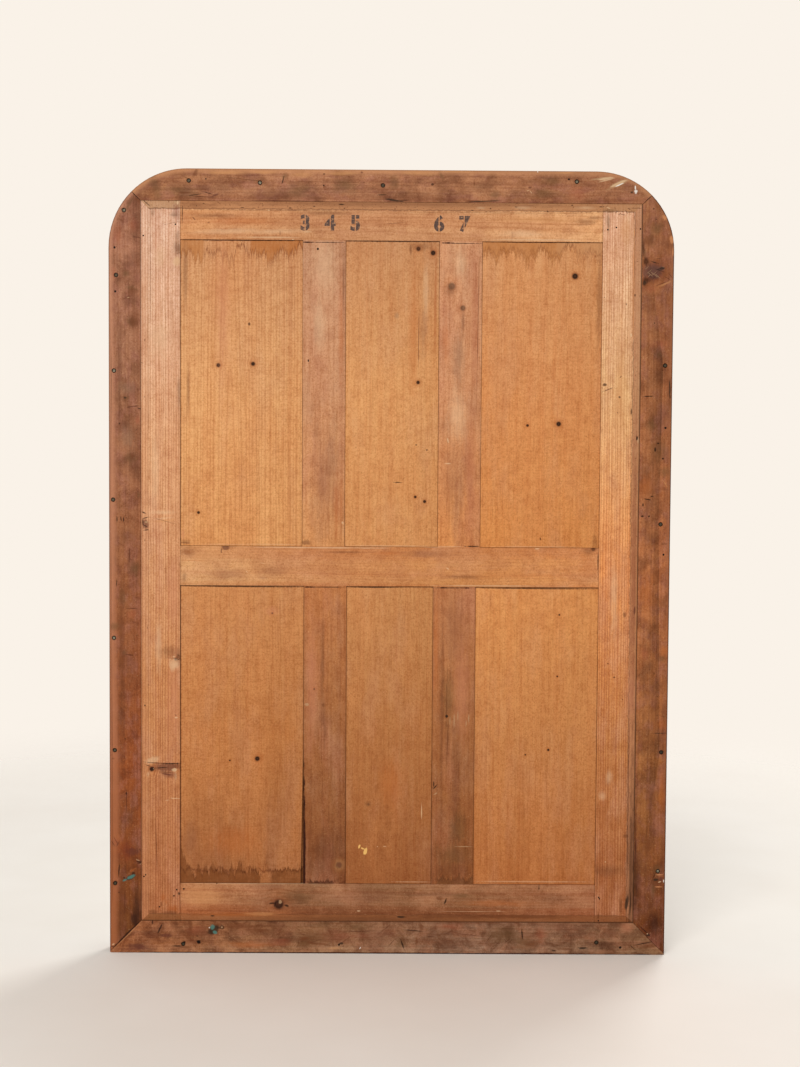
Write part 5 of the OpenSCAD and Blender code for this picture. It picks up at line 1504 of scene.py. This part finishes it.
oak_upright = carved_oak("waxed_oak_upright", "z")
oak_level = carved_oak("waxed_oak_level", "x")
print("oak ready")

# %% [markdown]
# The moulding's section is drawn once, measured in from the outer edge and up from the oak's
# back: a ledge, a round roll, a fillet and a hollow. The slip beside it has a groove for a row
# of pearls. Swept along each edge and spun round the corners, the same outline makes every
# length, as a moulding plane and a carver's gouge did.

# %% Draw the two sections
half_w = cad_high.x / MM
full_h = cad_high.z / MM
oak_back = box_mm("oak_top")[1][1]
arc_x, arc_z = half_w - corner_r, full_h - corner_r
roll_u, roll_h, core_r = 20.5, 12, 12.6
slip_u, rebate_u, inner_u = 77, 94, 104
hollow_u, hollow_h, fillet_u, fillet_h = 71, 5, 40, 15
pearl_u, groove_h, groove_w = 87, 9, 11


def arc(centre_u, centre_h, radius, start, end, steps):
    turns = [math.radians(start + (end - start) * i / steps) for i in range(steps + 1)]
    return [(centre_u + radius * math.cos(a), centre_h + radius * math.sin(a)) for a in turns]


def roll_angle(height):
    return math.degrees(math.asin((height - roll_h) / core_r))


hollow_rise = fillet_h - hollow_h
hollow_run = hollow_u - fillet_u
hollow_r = (hollow_run ** 2 + hollow_rise ** 2) / (2 * hollow_rise)
hollow_sweep = math.degrees(math.asin(hollow_run / hollow_r))
oak_section = [(0, 0), (0, 9), (1, 10)]
oak_section += arc(roll_u, roll_h, core_r, 180 - roll_angle(10), roll_angle(fillet_h), 18)
oak_section += [(fillet_u - 0.8, fillet_h), (fillet_u, fillet_h - 0.8)]
oak_section += arc(hollow_u, hollow_h + hollow_r, hollow_r, -90 - hollow_sweep, -90, 10)[1:]
oak_section += [(slip_u, hollow_h), (slip_u, 0)]
groove = (pearl_u - groove_w / 2, pearl_u + groove_w / 2)
slip_section = [(slip_u, 0), (slip_u, 12), (slip_u + 1, 13), (groove[0] - 0.6, 13), (groove[0], 12.4)]
slip_section += [(groove[0], groove_h)]
slip_section += arc(pearl_u, groove_h, 2.5, 180, 0, 8) + [(groove[1], groove_h)]
slip_section += [(groove[1], 11.6), (groove[1] + 0.5, 12), (96.3, 12), (97, 11.6), (inner_u, 9)]
slip_section += [(inner_u, 6), (rebate_u, 6), (rebate_u, 0)]
print("points in the sections", len(oak_section), len(slip_section))

# %% [markdown]
# A length starts as the closed outline at one end. Extruding its edges draws it along the
# board, a cut through the corner makes the mitre, and filling the two open ends closes it. For
# a corner the same outline is spun a quarter turn about the corner's centre.

# %% Draw lengths and turn corners
def rubbed_at(u, h):
    """How much wear a point of the section gets: edges most, hollows and the carved roll least."""
    if h < 1:
        return 0.3
    if roll_u - core_r < u < roll_u + core_r and h > 10:
        return 0.12
    if h > 14 or u > slip_u and h > 11.5:
        return 0.85
    if abs(u - pearl_u) < groove_w / 2:
        return 0.1
    return 0.45 + 0.2 * abs(u - 60) / 40


def outline(bm, section, seat):
    """The section as a loop of edges; seat turns (u, h) into a point."""
    rubbed = rubbed_layer(bm)
    verts = []
    for u, h in section:
        verts.append(bm.verts.new(Vector(seat(u, h)) * MM))
        verts[-1][rubbed] = rubbed_at(u, h)
    return [bm.edges.new((a, b)) for a, b in zip(verts, verts[1:] + verts[:1])]


def close_ends(bm):
    open_edges = [e for e in bm.edges if e.is_boundary]
    bmesh.ops.holes_fill(bm, edges=open_edges, sides=0)
    bmesh.ops.triangulate(bm, faces=[f for f in bm.faces if len(f.verts) > 4])


def length_of(section, seat, along):
    bm = bmesh.new()
    edges = outline(bm, section, seat)
    drawn = bmesh.ops.extrude_edge_only(bm, edges=edges)["geom"]
    bmesh.ops.translate(bm, verts=only(drawn, bmesh.types.BMVert), vec=Vector(along) * MM)
    return bm


def cut_mitre(bm, corner, keep):
    """Cuts through a corner point at 45 degrees and keeps the side that keep points to."""
    geom = bm.verts[:] + bm.edges[:] + bm.faces[:]
    bmesh.ops.bisect_plane(bm, geom=geom, plane_co=Vector(corner) * MM, plane_no=keep, clear_inner=True)


corner_steps = 32


def spun_corner(section, side):
    bm = bmesh.new()
    edges = outline(bm, section, lambda u, h: (side * (half_w - u), oak_back - h, arc_z))
    bmesh.ops.spin(bm, geom=edges, cent=Vector((side * arc_x, oak_back, arc_z)) * MM,
                   axis=(0, -side, 0), angle=math.radians(90), steps=corner_steps, use_merge=False)
    return bm


print("a corner turns in", corner_steps, "steps of", round(90 / corner_steps, 1), "degrees")

# %% [markdown]
# The moulding and the slip are made alike: two level lengths, two upright ones and two corners.
# The grain runs along each length, as wood has to, and the corners take it from the uprights.

# %% Sweep the mouldings
def moulding(kind, section):
    top = length_of(section, lambda u, h: (-arc_x, oak_back - h, full_h - u), (2 * arc_x, 0, 0))
    bottom = length_of(section, lambda u, h: (-half_w, oak_back - h, u), (2 * half_w, 0, 0))
    for side in (-1, 1):
        cut_mitre(bottom, (side * half_w, 0, 0), (-side, 0, -1))
    made = [(top, "top", oak_level), (bottom, "bottom", oak_level)]
    for side, word in ((1, "left"), (-1, "right")):
        upright = length_of(section, lambda u, h: (side * (half_w - u), oak_back - h, 0), (0, 0, arc_z))
        cut_mitre(upright, (side * half_w, 0, 0), (side, 0, 1))
        made.append((upright, word, oak_upright))
        made.append((spun_corner(section, side), word + "_corner", oak_upright))
    for bm, word, material in made:
        close_ends(bm)
        finished(f"moulded_{kind}_{word}", bm, material, [f"{kind}_{word}"], 35)


moulding("oak", oak_section)
moulding("slip", slip_section)

# %% [markdown]
# Ornament follows the frame, so one function finds any place on it. A distance is counted from
# the middle of the bottom edge, round the corner, up the side, round the top corner and to the
# middle of the top, on a line that lies a given way in from the outer edge.

# %% Find a place on the frame
def stretches(line_u):
    """Lengths of the bottom half, the side, the corner and the top half along a line."""
    return [half_w - line_u, arc_z - line_u, (corner_r - line_u) * math.pi / 2, arc_x]


def on_frame(distance, u, h, line_u, side):
    bottom, upright, bend, top = stretches(line_u)
    if distance < bottom:
        x, z = distance, u
    elif distance < bottom + upright:
        x, z = half_w - u, line_u + distance - bottom
    elif distance < bottom + upright + bend:
        turn = (distance - bottom - upright) / (corner_r - line_u)
        x, z = arc_x + (corner_r - u) * math.cos(turn), arc_z + (corner_r - u) * math.sin(turn)
    else:
        x, z = arc_x - (distance - bottom - upright - bend), full_h - u
    return Vector((side * x, oak_back - h, z)) * MM


def on_roll(distance, around, proud, side):
    """A place on the roll: around is the arc in mm from its crest, proud the height above its core."""
    angle = around / core_r
    u = roll_u + (core_r + proud) * math.sin(angle)
    h = roll_h + (core_r + proud) * math.cos(angle)
    return on_frame(distance, u, h, roll_u, side)


print("half of the roll is", round(sum(stretches(roll_u))), "mm long")

# %% [markdown]
# Leaves, berries and pearls are copies of three small meshes. Each copy is bent into its place
# point by point, and every point says how rubbed it is there.

# %% Keep three small shapes
def pattern(make, **settings):
    """One small shape kept as a mesh, ready to be copied."""
    bm = bmesh.new()
    make(bm, **settings)
    mesh = bpy.data.meshes.new("pattern")
    bm.to_mesh(mesh)
    bm.free()
    return mesh


def lay_copy(bm, mesh, seat):
    """Adds a copy of a pattern; seat gives each of its points a place and how rubbed it is."""
    rubbed = rubbed_layer(bm)
    count = len(bm.verts)
    bm.from_mesh(mesh)
    bm.verts.ensure_lookup_table()
    for vert in bm.verts[count:]:
        vert.co, vert[rubbed] = seat(vert.co)


ball = pattern(bmesh.ops.create_uvsphere, u_segments=8, v_segments=6, radius=1)
bead = pattern(bmesh.ops.create_icosphere, subdivisions=1, radius=1)
pearl = pattern(bmesh.ops.create_icosphere, subdivisions=2, radius=1)
print("points", [len(shape.vertices) for shape in (ball, bead, pearl)])

# %% [markdown]
# A leaf is a low sphere drawn out to a point, with a groove for its midrib, its root tucked
# under the row before and its tip raised. Bent onto the roll, it takes the roll's curve. The
# leaves that cover a mitre lie flatter and point out to the corner.

# %% Shape the leaves and berries
leaf_long, leaf_half, berry_r = 18, 7.2, 2.6
corner_in = 37
rise = oak_back - cad_low.y / MM - roll_h - core_r - 0.1


def leaf_form(co, lift_by, bulge):
    """Width and height of a leaf over the wood below it, and how rubbed it is there."""
    along, across, up = co.z, co.x, co.y
    width = 1 - 0.45 * max(0.0, along) ** 1.2
    rib = 0.45 + 0.55 * min(1, abs(across) / 0.5)
    lift = (along + 1) / 2
    proud = -0.8 + lift * lift_by + max(up, -0.3) * bulge * rib
    rubbed = 0.1 + 0.75 * max(0.0, up) * rib + 0.25 * lift
    return across * width, proud, rubbed


def leaf(bm, distance, around, side, scale=1.0):
    def seat(co):
        across, proud, rubbed = leaf_form(co, rise - 1.5, 2.3)
        return on_roll(distance + co.z * leaf_long * scale, around + across * leaf_half * scale,
                       min(proud, rise), side), rubbed
    lay_copy(bm, ball, seat)


def berry(bm, distance, around, side):
    def seat(co):
        proud = rise - 2.7 + co.z * berry_r
        return on_roll(distance + co.x * berry_r, around + co.y * berry_r, proud, side), 0.5 + 0.45 * co.z
    lay_copy(bm, bead, seat)


def corner_leaf(bm, side, turn, long, half):
    """A leaf over the mitre at the foot, pointing out to the corner, turned in its plane."""
    def seat(co):
        across, proud, rubbed = leaf_form(co, rise - 1.2, 2.2)
        way = math.radians(45 + turn)
        x = half_w - corner_in + (1 + co.z) * long * math.cos(way) + across * half * math.sin(way)
        z = corner_in - (1 + co.z) * long * math.sin(way) + across * half * math.cos(way)
        u = min(half_w - x, z)
        reach = max(0.0, (core_r + proud) ** 2 - (u - roll_u) ** 2)
        h = max(7.0, min(roll_h + math.sqrt(reach), roll_h + core_r + rise))
        return Vector((side * x, oak_back - h, z)) * MM, rubbed
    lay_copy(bm, ball, seat)


print("leaves rise", round(rise, 1), "mm over the roll")

# %% [markdown]
# The roll is carved with laurel: rows of three overlapping leaves that climb from the middle of
# the bottom to the middle of the top, with berries between them. Ribbons and mitres interrupt
# them, so the rows are shared out evenly over what is left between.

# %% Carve the laurel
leaf_pitch, side_row = 23, 15.2
tie_half, mitre_half, tie_gap = 5, 24, 60
foot = half_w - roll_u
ties = [0, foot - tie_gap, foot + tie_gap, foot + (arc_z - roll_u) / 2 + 15, foot + arc_z - roll_u - 30,
        sum(stretches(roll_u)) - arc_x + 30, sum(stretches(roll_u))]


def rows_between():
    """Places for the rows of leaves, shared out evenly between the ribbons and the mitre."""
    stops = sorted([(tie, tie_half) for tie in ties] + [(foot, mitre_half)])
    places = []
    for (before, clear_before), (after, clear_after) in zip(stops, stops[1:]):
        first = before + clear_before + leaf_long * 0.45
        last = after - clear_after - leaf_long * 0.95
        steps = max(0, round((last - first) / leaf_pitch))
        places += [first + (last - first) * i / max(1, steps) for i in range(steps + 1)]
    return places


def garland(side):
    bm = bmesh.new()
    for distance in rows_between():
        for around in (-side_row, side_row):
            leaf(bm, distance, around, side)
            berry(bm, distance + leaf_pitch * 0.6, around * 0.5, side)
        leaf(bm, distance + leaf_pitch * 0.3, 0, side, 1.05)
    for turn, long, half in ((40, 13, 6), (-40, 13, 6), (0, 20, 10)):
        corner_leaf(bm, side, turn, long, half)
    return bm


for side, word in ((1, "left"), (-1, "right")):
    finished("laurel_" + word, garland(side), oak_upright, smooth=50)

# %% [markdown]
# Crossed ribbons bind the laurel at its ends and at five places between. A ribbon is a strip of
# a grid, laid over the roll and thickened.

# %% Bind the ribbons
ribbon_w, ribbon_thick, ribbon_reach = 6.5, 1.1, 21


def ribbon(bm, distance, side, lean):
    rubbed = rubbed_layer(bm)
    made = bmesh.ops.create_grid(bm, x_segments=20, y_segments=2, size=1)["verts"]
    faces = list({f for v in made for f in v.link_faces})
    for vert in made:
        sweep, edge = vert.co.x, vert.co.y
        curl = 0.25 * (1 - edge * edge)
        vert[rubbed] = 0.85 - 0.5 * abs(edge)
        vert.co = on_roll(distance + lean * sweep * 9 + edge * ribbon_w / 2, sweep * ribbon_reach,
                          rise - ribbon_thick - 0.6 + curl + (0.25 if lean > 0 else 0), side)
    bmesh.ops.recalc_face_normals(bm, faces=faces)
    bmesh.ops.solidify(bm, geom=faces, thickness=ribbon_thick * MM)


bm = bmesh.new()
for side in (-1, 1):
    for distance in ties:
        if side < 0 and distance in (ties[0], ties[-1]):
            continue
        for lean in (-1, 1):
            ribbon(bm, distance, side, lean)
finished("ribbon_ties", bm, oak_level, smooth=40)

# %% [markdown]
# The slip carries a row of pearls. Each length and each corner starts and ends with a whole
# pearl, so the spacing is worked out for each by itself.

# %% String the pearls
pearl_r, pearl_pitch = 4.4, 11.6
bm = bmesh.new()
start = 0
for stretch in stretches(pearl_u):
    count = round(stretch / pearl_pitch)
    for i in range(count):
        for side in (-1, 1):
            middle = on_frame(start + (i + 0.5) * stretch / count, pearl_u, groove_h + 1.6, pearl_u, side)
            lay_copy(bm, pearl, lambda co: (middle + co * pearl_r * MM, 0.45 - 0.6 * co.y))
    start += stretch
finished("slip_pearls", bm, oak_upright, smooth=60)

# %% [markdown]
# How far the finished model reaches beyond the box of the imported one is printed, in mm on each side.
# The finished model must stay inside the box of the imported one.

# %% Compare the sizes and finish
low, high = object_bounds()
print("grown by, in mm", [round(v / MM, 2) for v in [*(cad_low - low), *(high - cad_high)]])
